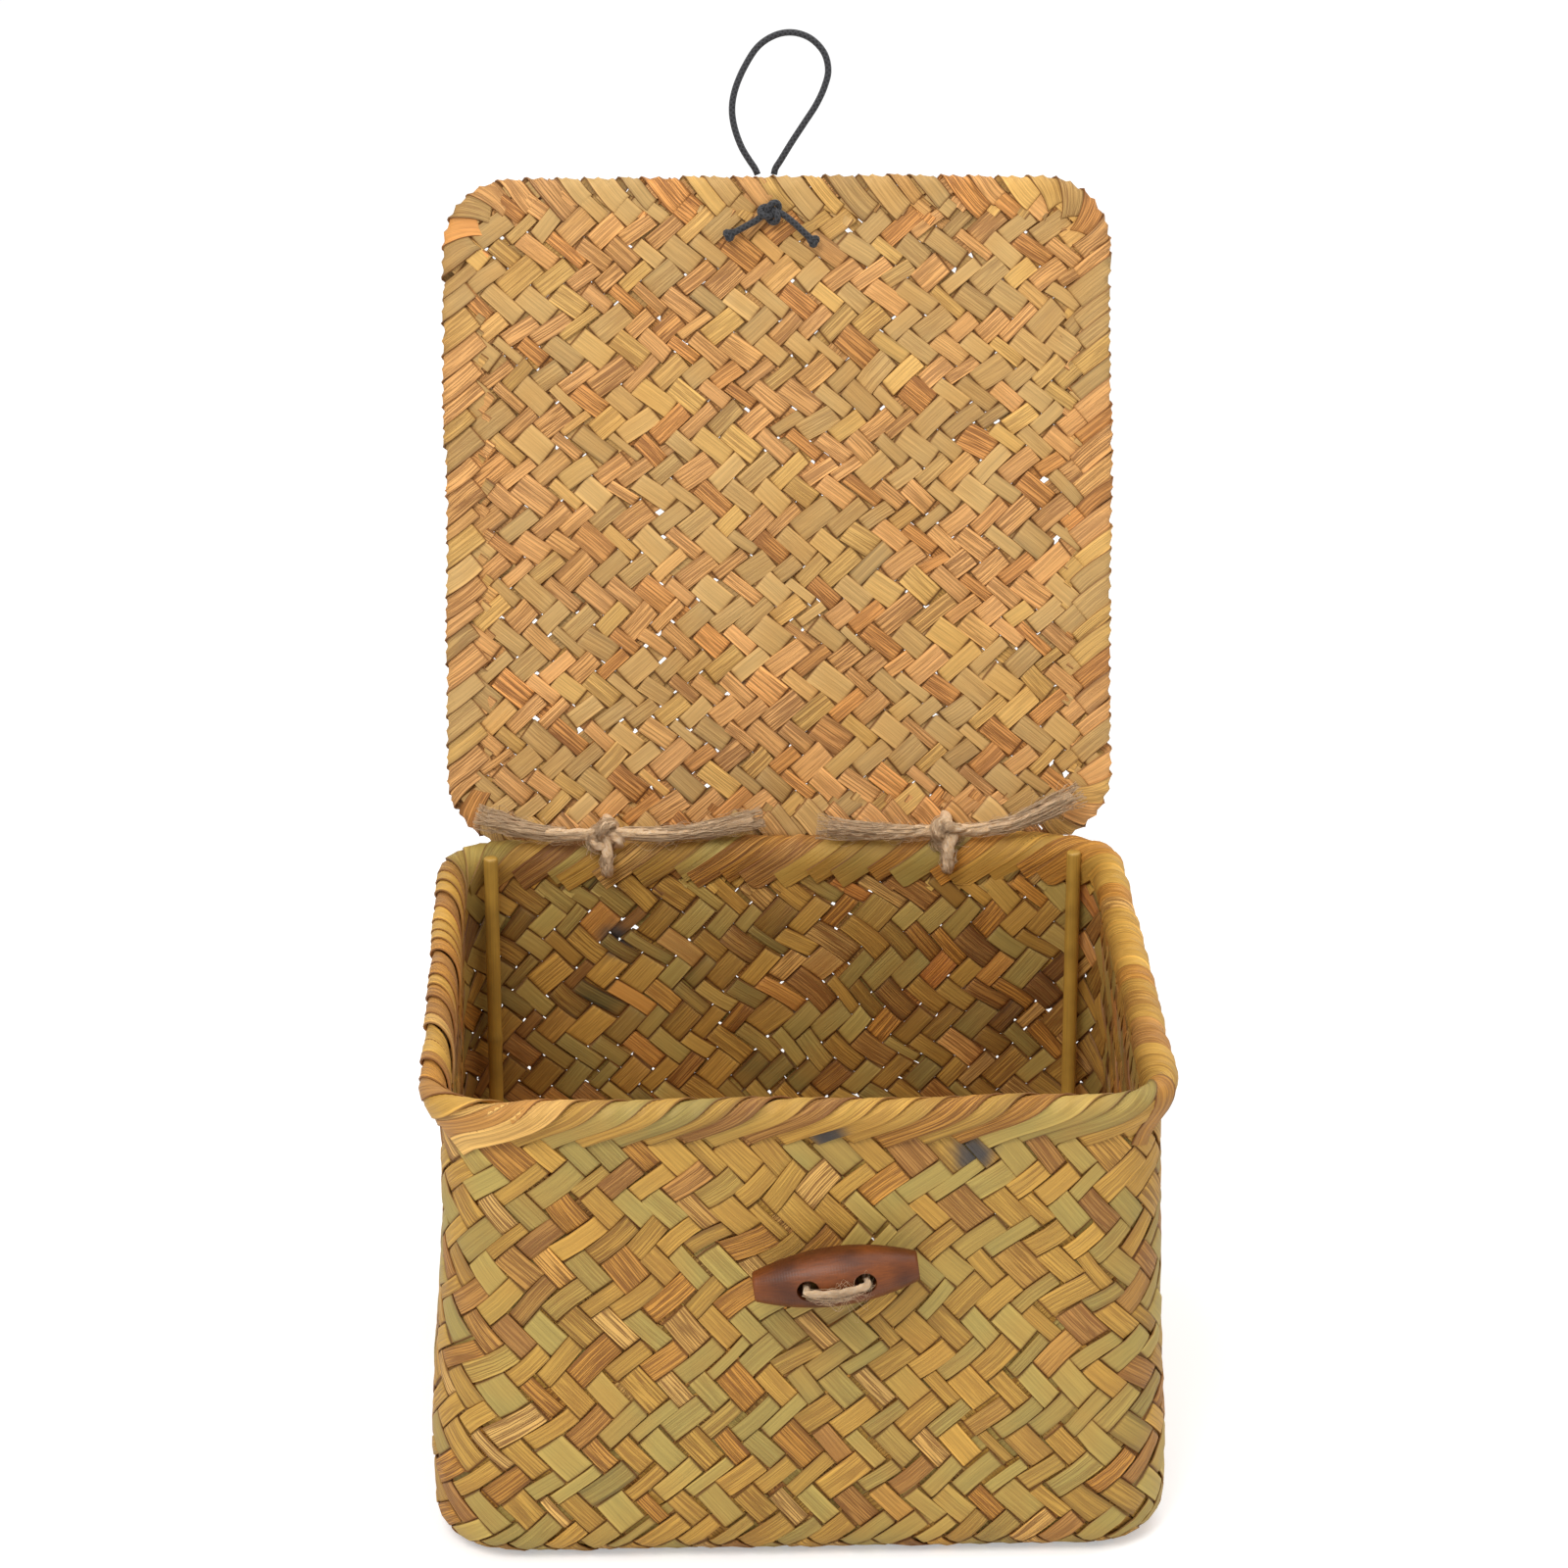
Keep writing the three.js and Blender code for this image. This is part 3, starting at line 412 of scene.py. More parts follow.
class Plait:
    """A two-over two-under plait on a sheet. Strip i of the falling lean and strip j of the
    rising lean cross where both centre lines meet, and the falling strip is outside where
    i + j is 0 or 1 beyond a multiple of 4. Along strip i the crossings are counted as a
    running number s. With w = sin(pi x (s + i + 1/2) / 2) its height is
    tanh(9 w) x (depth x (0.7 + 0.3 |w|) + |w| x how far that float bulges)."""

    def __init__(self, seed, leans, edges, first, place, gap, slack, ease=((0, 1), (0, 0))):
        self.rng = np.random.default_rng(seed)
        self.leans = leans
        self.edges = edges
        self.first = first
        self.place = place
        self.gap = gap
        self.slack = slack
        self.ease = ease

    def lines(self, side, index):
        """A strip's lean, its middle line, its width, and the lines that cross it with their
        running numbers and their distances along it"""
        lean, both = self.leans[own(side)], sum(self.leans)
        lower, upper = self.edges[own(side)][index - self.first:index - self.first + 2]
        centre = (lower + upper) / 2
        crossing = self.edges[own(-side)]
        numbers = np.arange(len(crossing)) + self.first - 0.5
        along = (crossing - centre * math.cos(both)) / math.sin(both)
        return lean, centre, upper - lower, numbers, along

    def nearest_line(self, side, index, target):
        """The place on a strip where it crosses a line between two strips of the other lean,
        the nearest one to a distance along it"""
        lean, centre, _, _, crossings = self.lines(side, index)
        along = crossings[np.argmin(np.abs(crossings - target))]
        return (side * (along * math.cos(lean) - centre * math.sin(lean)),
                centre * math.cos(lean) + along * math.sin(lean))

    def strip(self, side, index, low, high, tone, groove):
        """Rings of one strip between two distances along it, and what its finish reads"""
        lean, centre, width, numbers, crossings = self.lines(side, index)
        start, stop = np.interp((low, high), crossings, numbers)
        s = float_samples(start, stop, index + 0.5)
        along = np.interp(s, numbers, crossings)
        turn = s + index + 0.5
        wave = np.sin(np.pi * turn / 2)
        lift = -side * np.tanh(9 * wave)
        middle = centre * math.cos(lean) + along * math.sin(lean)
        rng, count = self.rng, 64
        roll, wander, skew = (
            per_float(rng.normal(0, spread, count), turn)[:, None] for spread in FLOAT_SPREADS
        )
        wander = wander + skew * (np.mod(turn, 2) - 1)[:, None]
        shade = per_float(rng.normal(0, 1, count), turn)[:, None]
        slack = self.slack * per_float(rng.uniform(0, 1, (count, 2)) ** 9, turn)
        half = (width - self.gap - np.interp(middle, *self.ease)) / 2
        across = RING_ACROSS * (half[:, None] - np.where(RING_ACROSS < 0, slack[:, :1], slack[:, 1:]))
        sideways = across + wander
        u = side * (along[:, None] * math.cos(lean) - (centre + sideways) * math.sin(lean))
        v = middle[:, None] + math.cos(lean) * sideways
        thick = sizes().strip_thickness / MM / 2
        crown = STRIP_CROWN * (1 - RING_ACROSS ** 2) * lift[:, None]
        bulge = FLOAT_BULGE * per_float(rng.uniform(0, 1, count) ** 4, turn)
        depth = sizes().plait_depth / MM * (0.7 + 0.3 * np.abs(wave)) + np.abs(wave) * bulge
        height = (lift * depth)[:, None] + thick * RING_OUT + crown + roll * RING_ACROSS
        # Lift, near 0 where the strip dips under a neighbour, tells the material where to paint shade
        values = dict(
            along=along[:, None], across=across, edge=RING_EDGE, inner=RING_INNER,
            lift=np.abs(lift[:, None]), tone=tone + 0.05 * shade, groove=groove,
            shade=per_float(rng.normal(0, 1, count), turn)[:, None],
        )
        return self.place(u, v, height), values


def strip_looks(rng, count):
    """Each strip's place in the colour ramp, from green and smooth at 0 to orange and deeply
    split at 1, and how deeply it is split"""
    tone = rng.uniform(0, 1, count)
    groove = np.clip(0.08 + 0.85 * tone + rng.uniform(-0.25, 0.25, count), 0.05, 1)
    return tone, groove


def plan_path(distance, half_x, half_y, radius):
    """A rectangle with round corners, walked counter-clockwise by length from the start of
    its front side. Gives each point and the normal that looks out of it."""
    spans = np.array([2 * (half_x - radius), math.pi / 2 * radius,
                      2 * (half_y - radius), math.pi / 2 * radius] * 2)
    starts = np.concatenate([[0], np.cumsum(spans)])
    left = np.mod(distance, starts[-1])
    span = np.clip(np.searchsorted(starts, left, side="right") - 1, 0, 7)
    left = left - starts[span]
    side, straight = span // 2, span % 2 == 0
    angle = (side - 1) * math.pi / 2 + np.where(straight, 0, left / radius)
    back = np.where(straight, spans[span] - left, 0)
    nx, ny = np.cos(angle), np.sin(angle)
    cx = (half_x - radius) * np.array((1, 1, -1, -1))[side]
    cy = (half_y - radius) * np.array((-1, 1, 1, -1))[side]
    return cx + radius * nx + back * ny, cy + radius * ny - back * nx, nx, ny


def plan_length(half_x, half_y, radius):
    return 4 * (half_x - radius) + 4 * (half_y - radius) + 2 * math.pi * radius


WALL_LENGTH = plan_length(WALL_HALF, WALL_HALF, WALL_CORNER)
LID_LENGTH = plan_length(LID_HALF_X, LID_HALF_Y, LID_CORNER)
# Length up the middle of the wall, from the inner end of the flange under the base
WALL_RISE = FLANGE + FOOT_MIDDLE * math.pi / 2 - FOOT_RADIUS
# How far the wall's rows drift and its sheet bulges, in millimetres. The strips run straight
# below and above two lengths up the sheet, and take their drift on over the ease.
WALL_DRIFT = 0.9
WALL_BULGE = 0.35
WALL_STRAIGHT = (10.0, 123.0)
WALL_EASE = 20.0
# Heights on the wall, and how much the gaps between its strips widen there
WALL_GAPS = ((20.0, 80.0), (0.34, -0.1))
# The period of the lid's uneven drift, in millimetres
LID_DRIFT_LENGTH = 250


def waver(u, v, seed, length=WALL_LENGTH, waves=(2, 3, 5, 7, 9, 12), rise=(60, 160)):
    """A smooth uneven field between about -1 and 1: sine waves, whole ones round u"""
    rng = np.random.default_rng(seed)
    field = 0.0
    for turns in waves:
        angle = 2 * np.pi * (turns * u / length + v / rng.uniform(*rise) + rng.uniform())
        field = field + np.sin(angle) / (0.43 * len(waves))
    return field


def crooked(u, v, seed, length=WALL_LENGTH):
    """How far strips stray from straight, in millimetres, over some 55 mm"""
    waves = tuple(round(length * share) for share in (0.014, 0.018, 0.021, 0.025))
    return 0.5 * waver(u, v, seed, length, waves, (40, 80))


def swell(height):
    """How far the wall stands out past its upper part, eased between its levels"""
    share = np.clip(height / BOX_HEIGHT, 0, 1)
    around = [np.interp(share + step, SWELL_LEVELS, SWELL_SHARES) for step in (-0.04, 0, 0.04)]
    return FOOT_SWELL * sum(around) / 3


def wall_place(u, v, h):
    """From the sheet to the basket: a flat flange, a quarter round foot and then the wall.
    h is the height out of the sheet's middle."""
    low, high = WALL_STRAIGHT
    fade = np.clip((v - low) / WALL_EASE, 0, 1) * np.clip((high - v) / WALL_EASE, 0, 1)
    u = u + WALL_DRIFT * waver(u, v, 5) + fade * crooked(u, v, 15)
    v = v + fade * (WALL_DRIFT * waver(u, v, 6) + crooked(u, v, 16))
    turn = np.clip((v - FLANGE) / FOOT_MIDDLE, 0, math.pi / 2)
    rise = np.maximum(v - FLANGE - FOOT_MIDDLE * math.pi / 2, 0)
    flat = np.minimum(v - FLANGE, 0)
    z = FOOT_RADIUS - FOOT_MIDDLE * np.cos(turn) + rise
    bulge = WALL_BULGE * waver(u, v, 7) * np.clip(rise / WALL_EASE, 0, 1)
    out = swell(z) - FOOT_MIDDLE + FOOT_MIDDLE * np.sin(turn) + flat + bulge
    h = h * np.where(flat < 0, 0.4, 1)
    x, y, nx, ny = plan_path(u, WALL_HALF, WALL_HALF, WALL_CORNER)
    out = out + h * np.sin(turn)
    return np.stack([x + out * nx, y + out * ny, z - h * np.cos(turn)], -1)


def wall_plait():
    count, leans = sizes().wall_strips, (sizes().wall_falling, sizes().wall_rising)
    rng = np.random.default_rng(11)
    pitch = [WALL_LENGTH * math.sin(lean) / count for lean in leans]
    # A row of falling floats ends where the rim's fold starts
    rate = sum(math.cos(lean) / p for lean, p in zip(leans, pitch))
    shift = (2.5 - rate * (RIM_FOLD_FOOT + WALL_RISE)) / 2 % 2
    low, high = -3 * count, 3 * count
    edges = [edges_of_strips(rng, low, high, p, count, shift) for p in pitch]
    ease = (np.add(WALL_GAPS[0], WALL_RISE), WALL_GAPS[1])
    return Plait(12, leans, edges, low, wall_place, gap=sizes().strip_gap / MM, slack=1.2, ease=ease)


def wall_looks():
    rng = np.random.default_rng(21)
    count = sizes().wall_strips
    return strip_looks(rng, count), strip_looks(rng, count)


def octagon_chord(half_x, half_y, corner, point, along):
    """Where a line enters and leaves a rectangle whose corners are cut off"""
    cut = half_x + half_y - (2 - math.sqrt(2)) * corner
    low, high = -1e9, 1e9
    for normal, limit in (
        ((1, 0), half_x), ((-1, 0), half_x), ((0, 1), half_y), ((0, -1), half_y),
        ((1, 1), cut), ((1, -1), cut), ((-1, 1), cut), ((-1, -1), cut),
    ):
        speed = normal[0] * along[0] + normal[1] * along[1]
        room = limit - normal[0] * point[0] - normal[1] * point[1]
        if speed > 1e-9:
            high = min(high, room / speed)
        elif speed < -1e-9:
            low = max(low, room / speed)
    return low, high


def flat_plait(bundle, side, plait, half_x, half_y, corner, looks):
    """All strips of one lean over a flat sheet with cut corners"""
    for index in range(plait.first + 1, plait.first + len(plait.edges[0]) - 2):
        lean, centre, _, _, _ = plait.lines(side, index)
        point = (-side * centre * math.sin(lean), centre * math.cos(lean))
        along = (side * math.cos(lean), math.sin(lean))
        low, high = octagon_chord(half_x, half_y, corner, point, along)
        if high - low < SHORTEST_STRIP:
            continue
        tone, groove = (look[index % len(look)] for look in looks)
        rings, values = plait.strip(side, index, low, high, tone, groove)
        bundle.add(rings, **values)


# Materials

def put(node, inputs):
    """Gives a node's sockets their values or links. A node given as a value stands for its
    first output in use."""
    for key, value in inputs.items():
        if isinstance(value, bpy.types.Node):
            value = next(socket for socket in value.outputs if socket.enabled)
        if isinstance(value, bpy.types.NodeSocket):
            node.id_data.links.new(value, node.inputs[key])
        else:
            node.inputs[key].default_value = value


def add(tree, kind, inputs=None, stops=(), **settings):
    """Adds one node, with its settings, its sockets' values or links, and its ramp's stops"""
    node = tree.nodes.new("ShaderNode" + kind)
    for name, value in settings.items():
        setattr(node, name, value)
    put(node, inputs or {})
    for number, (position, colour) in enumerate(stops):
        ramp = node.color_ramp.elements
        stop = ramp[number] if number < 2 else ramp.new(position)
        stop.position = position
        stop.color = colour
    return node


def new_material(name, *attributes):
    """A bare material, its tree, its shader, and a socket for each attribute that it reads"""
    material = bpy.data.materials.new(name)
    material.use_nodes = True
    tree = material.node_tree
    tree.nodes.clear()
    shader = add(tree, "BsdfPrincipled")
    add(tree, "OutputMaterial", {"Surface": shader})
    read = [add(tree, "Attribute", attribute_name=key).outputs["Fac"] for key in attributes]
    return material, tree, shader, *read


def made_once(make):
    """Looks for a material by its name before it is made"""
    def find(name, *details):
        return bpy.data.materials.get(name) or make(name, *details)

    return find


def grey(level):
    return (level, level, level, 1)


@made_once
def seagrass_material(name, stops, inner_shade_tint):
    """Dry seagrass strips, split and plaited: satin skin with fine fibres, brown splits along each strip,
    brown cut edges, and every strip of its own colour. Painted shade darkens the gaps beside the edges, the
    places where a strip dips under a neighbour and the strips' inner faces, and painted light and shade fall
    on the sides of the floats."""
    material, tree, shader, tone, groove, shade, stain, along, across, edge, lift, inner = new_material(
        name, "tone", "groove", "shade", "stain", "along", "across", "edge", "lift", "inner",
    )
    # Fibres: 0.4 mm across and some 20 mm long
    number = add(tree, "Math", {0: tone, 1: 173.0}, operation="MULTIPLY")
    slow = add(tree, "Math", {0: along, 1: 0.02}, operation="MULTIPLY")
    place = add(tree, "CombineXYZ", {0: across, 1: slow, 2: number})
    fibre = add(tree, "TexNoise", {"Vector": place, "Scale": 2.4, "Detail": 3.0, "Roughness": 0.65})
    # Splits: 0.25 mm wide and 0.7 mm apart, where a slower noise passes its middle value
    wave = add(tree, "TexNoise", {"Vector": place, "Scale": 1.7, "Detail": 2.0, "Roughness": 0.6})
    wave = add(tree, "Math", {0: wave, 1: 0.5}, operation="SUBTRACT")
    wave = add(tree, "Math", {0: wave}, operation="ABSOLUTE")
    split = add(tree, "MapRange", {"Value": wave, 1: 0.02, 2: 0.08, 3: 1.0, 4: 0.0})
    split = add(tree, "Math", {0: split, 1: groove}, operation="MULTIPLY")
    base = add(tree, "ValToRGB", {"Fac": tone}, stops)
    light = add(tree, "MapRange", {"Value": fibre, 1: 0.3, 2: 0.7, 3: 0.8, 4: 1.2})
    light = add(tree, "Math", {0: shade, 1: 0.07, 2: light}, operation="MULTIPLY_ADD")
    # The floats differ more on the inner side
    deep = add(tree, "Math", {0: inner, 1: shade}, operation="MULTIPLY")
    light = add(tree, "Math", {0: deep, 1: 0.16, 2: light}, operation="MULTIPLY_ADD")
    # Painted highlight on the sides of the lighter floats, and painted shade on the sides of the darker ones
    edge_light_and_shade = add(tree, "MapRange", {"Value": edge, 1: 0.6, 2: 0.82, 3: 0.0, 4: 0.14})
    edge_light_and_shade = add(tree, "Math", {0: edge_light_and_shade, 1: shade}, operation="MULTIPLY")
    light = add(tree, "Math", {0: edge_light_and_shade, 1: light}, operation="ADD")
    colour = add(tree, "Mix", {"Factor": 1.0, 6: base, 7: light}, data_type="RGBA", blend_type="MULTIPLY")
    # Blotches of 10 to 30 mm, on the object itself
    spot = add(tree, "TexCoord").outputs["Object"]
    blotch = add(tree, "TexNoise", {"Vector": spot, "Scale": 60.0, "Detail": 2.0})
    blotch = add(tree, "MapRange", {"Value": blotch, 1: 0.4, 2: 0.7, 3: 0.0, 4: 0.3})
    # Splits and cut edges are brown. The brown line at the edges also paints the shade in the gaps between
    # strips, and where a strip dips under a neighbour it gets painted shade in the same brown.
    line = add(tree, "Math", {0: split, 1: 0.75}, operation="MULTIPLY")
    rim = add(tree, "MapRange", {"Value": edge, 1: 0.92, 2: 0.99, 3: 0.0, 4: 0.75})
    dip_shade = add(tree, "MapRange", {"Value": lift, 1: 0.95, 2: 0.2, 3: 0.0, 4: 0.8})
    dark = add(tree, "Math", {0: rim, 1: dip_shade}, operation="MAXIMUM")
    dark = add(tree, "Math", {0: dark, 1: line}, operation="MAXIMUM")
    # Some floats dried orange on the inner side
    rust = add(tree, "MapRange", {"Value": shade, 1: 1.1, 2: 1.3, 3: 0.0, 4: 0.42})
    rust = add(tree, "Math", {0: rust, 1: inner}, operation="MULTIPLY")
    # Each layer covers the ones before it by its own share. The last is the charred marks.
    for share, layer in ((blotch, colours().tan), (dark, colours().edge_brown_and_shade), (rust, linear("#BE6C34")),
                         (stain, linear("#4A4440"))):
        colour = add(tree, "Mix", {"Factor": share, 6: colour, 7: layer}, data_type="RGBA")
    # Painted shade: the strips' inner faces, inside the box and under the lid, are darkened by the inner tint
    colour = add(tree, "Mix", {"Factor": inner, 6: colour, 7: inner_shade_tint}, data_type="RGBA",
                 blend_type="MULTIPLY")
    rough = add(tree, "MapRange", {"Value": fibre, 3: 0.46, 4: 0.7})
    height = add(tree, "Math", {0: split, 1: -0.8, 2: fibre}, operation="MULTIPLY_ADD")
    bump = add(tree, "Bump", {"Height": height, "Strength": 0.8, "Distance": 0.00025})
    put(shader, {"Base Color": colour, "Roughness": rough, "Normal": bump, "IOR": 1.45})
    return material


def wall_seagrass():
    c = colours()
    stops = ((0.0, c.olive), (0.27, c.olive), (0.37, c.yellow), (0.68, c.yellow), (0.74, c.brown),
             (0.81, c.brown), (0.85, c.tan), (0.93, c.tan), (0.95, c.pale), (1.0, c.pale))
    # The last colour is painted shade on the strips' inner faces
    return seagrass_material("plaited_seagrass_wall", stops, (0.96, 0.94, 0.97, 1))


def lid_seagrass():
    c = colours()
    stops = ((0.0, c.lid_olive), (0.3, c.lid_olive), (0.38, c.pale), (0.48, c.pale),
             (0.55, c.lid_tan), (0.78, c.lid_tan), (0.85, c.lid_orange), (1.0, c.lid_orange))
    # The last colour is painted shade on the strips' inner faces
    return seagrass_material("plaited_seagrass_lid", stops, (0.97, 0.95, 0.92, 1))


@made_once
def bamboo_material(name):
    """Split bamboo stake, scraped smooth: waxy skin with fine lines along it and a
    darker ring at each node"""
    material, tree, shader, node = new_material(name, "node")
    spot = add(tree, "TexCoord").outputs["Object"]
    # Fibres 0.3 mm apart that run on for some 20 mm
    long = add(tree, "Mapping", {"Vector": spot, "Scale": (1, 1, 0.015)})
    fibre = add(tree, "TexNoise", {"Vector": long, "Scale": 3000.0, "Detail": 2.0})
    patch = add(tree, "TexNoise", {"Vector": spot, "Scale": 90.0, "Detail": 3.0})
    base = add(tree, "ValToRGB", {"Fac": patch}, ((0.3, linear("#A57F36")), (0.7, colours().bamboo)))
    light = add(tree, "MapRange", {"Value": fibre, 1: 0.3, 2: 0.7, 3: 0.86, 4: 1.1})
    colour = add(tree, "Mix", {"Factor": 1.0, 6: base, 7: light}, data_type="RGBA", blend_type="MULTIPLY")
    colour = add(tree, "Mix", {"Factor": node, 6: colour, 7: linear("#5A4420")}, data_type="RGBA")
    bump = add(tree, "Bump", {"Height": fibre, "Strength": 0.3, "Distance": 0.0001})
    put(shader, {"Base Color": colour, "Normal": bump, "Roughness": 0.42})
    return material


@made_once
def cane_material(name):
    """Round rattan cane, peeled: dull straw colour with open pores along it"""
    material, tree, shader, along, around = new_material(name, "along", "around")
    # Pores 0.4 mm wide and some 3 mm long
    slow = add(tree, "Math", {0: along, 1: 0.08}, operation="MULTIPLY")
    place = add(tree, "CombineXYZ", {0: around, 1: slow})
    pore = add(tree, "TexNoise", {"Vector": place, "Scale": 4.0, "Detail": 3.0})
    colour = add(tree, "ValToRGB", {"Fac": pore}, ((0.35, linear("#8A6335")), (0.6, linear("#BE9658"))))
    bump = add(tree, "Bump", {"Height": pore, "Strength": 0.4, "Distance": 0.0002})
    put(shader, {"Base Color": colour, "Normal": bump, "Roughness": 0.7})
    return material


@made_once
def jute_material(name, bleach=0.0):
    """Jute twine: dull, fibrous, with soft light from its stray fibres. Bleach, up to 1,
    makes it paler and more even."""
    material, tree, shader, along, around = new_material(name, "along", "around")
    # Fibres 0.25 mm across that wind round the twine once in 14 mm
    wind = add(tree, "Math", {0: along, 1: -0.45, 2: around}, operation="MULTIPLY_ADD")
    slow = add(tree, "Math", {0: along, 1: 0.12}, operation="MULTIPLY")
    place = add(tree, "CombineXYZ", {0: wind, 1: slow})
    fibre = add(tree, "TexNoise", {"Vector": place, "Scale": 7.0, "Detail": 3.0, "Roughness": 0.7})
    twine = colours().jute
    light = tuple(c + (1 - c) * (0.38 + 0.2 * bleach) for c in twine[:3]) + (1,)
    dark = tuple(c * (share + 0.4 * bleach) for c, share in zip(twine, (0.66, 0.56, 0.46))) + (1,)
    colour = add(tree, "ValToRGB", {"Fac": fibre}, ((0.3, dark), (0.46, twine), (0.66, light)))
    bump = add(tree, "Bump", {"Height": fibre, "Strength": 0.9, "Distance": 0.0007})
    put(shader, {"Base Color": colour, "Normal": bump, "Roughness": 0.85, "Specular IOR Level": 0.2,
                 "Sheen Weight": 0.08, "Sheen Roughness": 0.5})
    return material


@made_once
def elastic_material(name):
    """Braided black elastic: a matt textile sleeve of strands that cross round the core"""
    material, tree, shader, along, around = new_material(name, "along", "around")
    # Four strands each way round, crossing every 0.7 mm: drawn twice as coarse as the real
    # sleeve, to show
    waves = []
    for lean in (4.5, -4.5):
        turn = add(tree, "Math", {0: along, 1: lean}, operation="MULTIPLY")
        turn = add(tree, "Math", {0: around, 1: 4.0, 2: turn}, operation="MULTIPLY_ADD")
        waves.append(add(tree, "Math", {0: turn}, operation="SINE"))
    weave = add(tree, "Math", {0: waves[0], 1: waves[1]}, operation="MAXIMUM")
    level = add(tree, "MapRange", {"Value": weave, 1: -0.2, 2: 1.0})
    colour = add(tree, "Mix", {"Factor": level, 6: linear("#131315"), 7: linear("#38383C")}, data_type="RGBA")
    bump = add(tree, "Bump", {"Height": level, "Strength": 0.7, "Distance": 0.0002})
    put(shader, {"Base Color": colour, "Normal": bump, "Roughness": 0.75, "Sheen Weight": 0.15})
    return material


@made_once
def toggle_material(name):
    """Hardwood, turned, stained dark and waxed: fine grain along the barrel, faint turning
    rings and a reddish glow where the stain is thin"""
    material, tree, shader, along, around = new_material(name, "along", "around")
    # Grain lines 0.6 mm apart and some 4 mm long
    slow = add(tree, "Math", {0: along, 1: 0.16}, operation="MULTIPLY")
    wide = add(tree, "Math", {0: around, 1: 7.0}, operation="MULTIPLY")
    place = add(tree, "CombineXYZ", {0: wide, 1: slow})
    grain = add(tree, "TexNoise", {"Vector": place, "Scale": 1.6, "Detail": 4.0, "Roughness": 0.65})
    spot = add(tree, "TexCoord").outputs["Object"]
    glow = add(tree, "TexNoise", {"Vector": spot, "Scale": 110.0, "Detail": 1.0})
    base = add(tree, "ValToRGB", {"Fac": glow}, ((0.36, colours().toggle), (0.7, linear("#7A3F14"))))
    light = add(tree, "MapRange", {"Value": grain, 1: 0.3, 2: 0.7, 3: 0.72, 4: 1.25})
    colour = add(tree, "Mix", {"Factor": 1.0, 6: base, 7: light}, data_type="RGBA", blend_type="MULTIPLY")
    # Turning rings 0.7 mm apart
    ring = add(tree, "Math", {0: along, 1: 9.0}, operation="MULTIPLY")
    ring = add(tree, "Math", {0: ring}, operation="SINE")
    height = add(tree, "Math", {0: ring, 1: 0.12, 2: grain}, operation="MULTIPLY_ADD")
    bump = add(tree, "Bump", {"Height": height, "Strength": 0.35, "Distance": 0.0002})
    rough = add(tree, "MapRange", {"Value": grain, 3: 0.32, 4: 0.55})
    put(shader, {"Base Color": colour, "Normal": bump, "Roughness": rough, "Specular IOR Level": 0.35,
                 "Coat Weight": 0.03, "Coat Roughness": 0.2})
    return material


# Pieces

def lid_place(x, y, z):
    """From the lid's frame, with its origin on the hinge axis, to the basket's frame"""
    turn = math.pi / 2 - LID_LEAN
    return np.stack([
        x + 0 * y,
        HINGE[1] + y * math.cos(turn) - z * math.sin(turn) + 0 * x,
        HINGE[2] + y * math.sin(turn) + z * math.cos(turn) + 0 * x,
    ], -1)


def lid_sheet(x, y, h):
    """The lid's middle sheet, with x and y from its centre, a little uneven as it dried"""
    sag = 0.5 * np.sin(x / 31 + 0.7) * np.cos(y / 37)
    x = x + 0.5 * np.sin(y / 19 + x / 43) + crooked(x, y, 18, LID_DRIFT_LENGTH)
    y = y + crooked(x, y, 19, LID_DRIFT_LENGTH)
    return lid_place(x, y + LID_HALF_Y - LID_BEHIND_AXIS, LID_MIDDLE + h + sag)


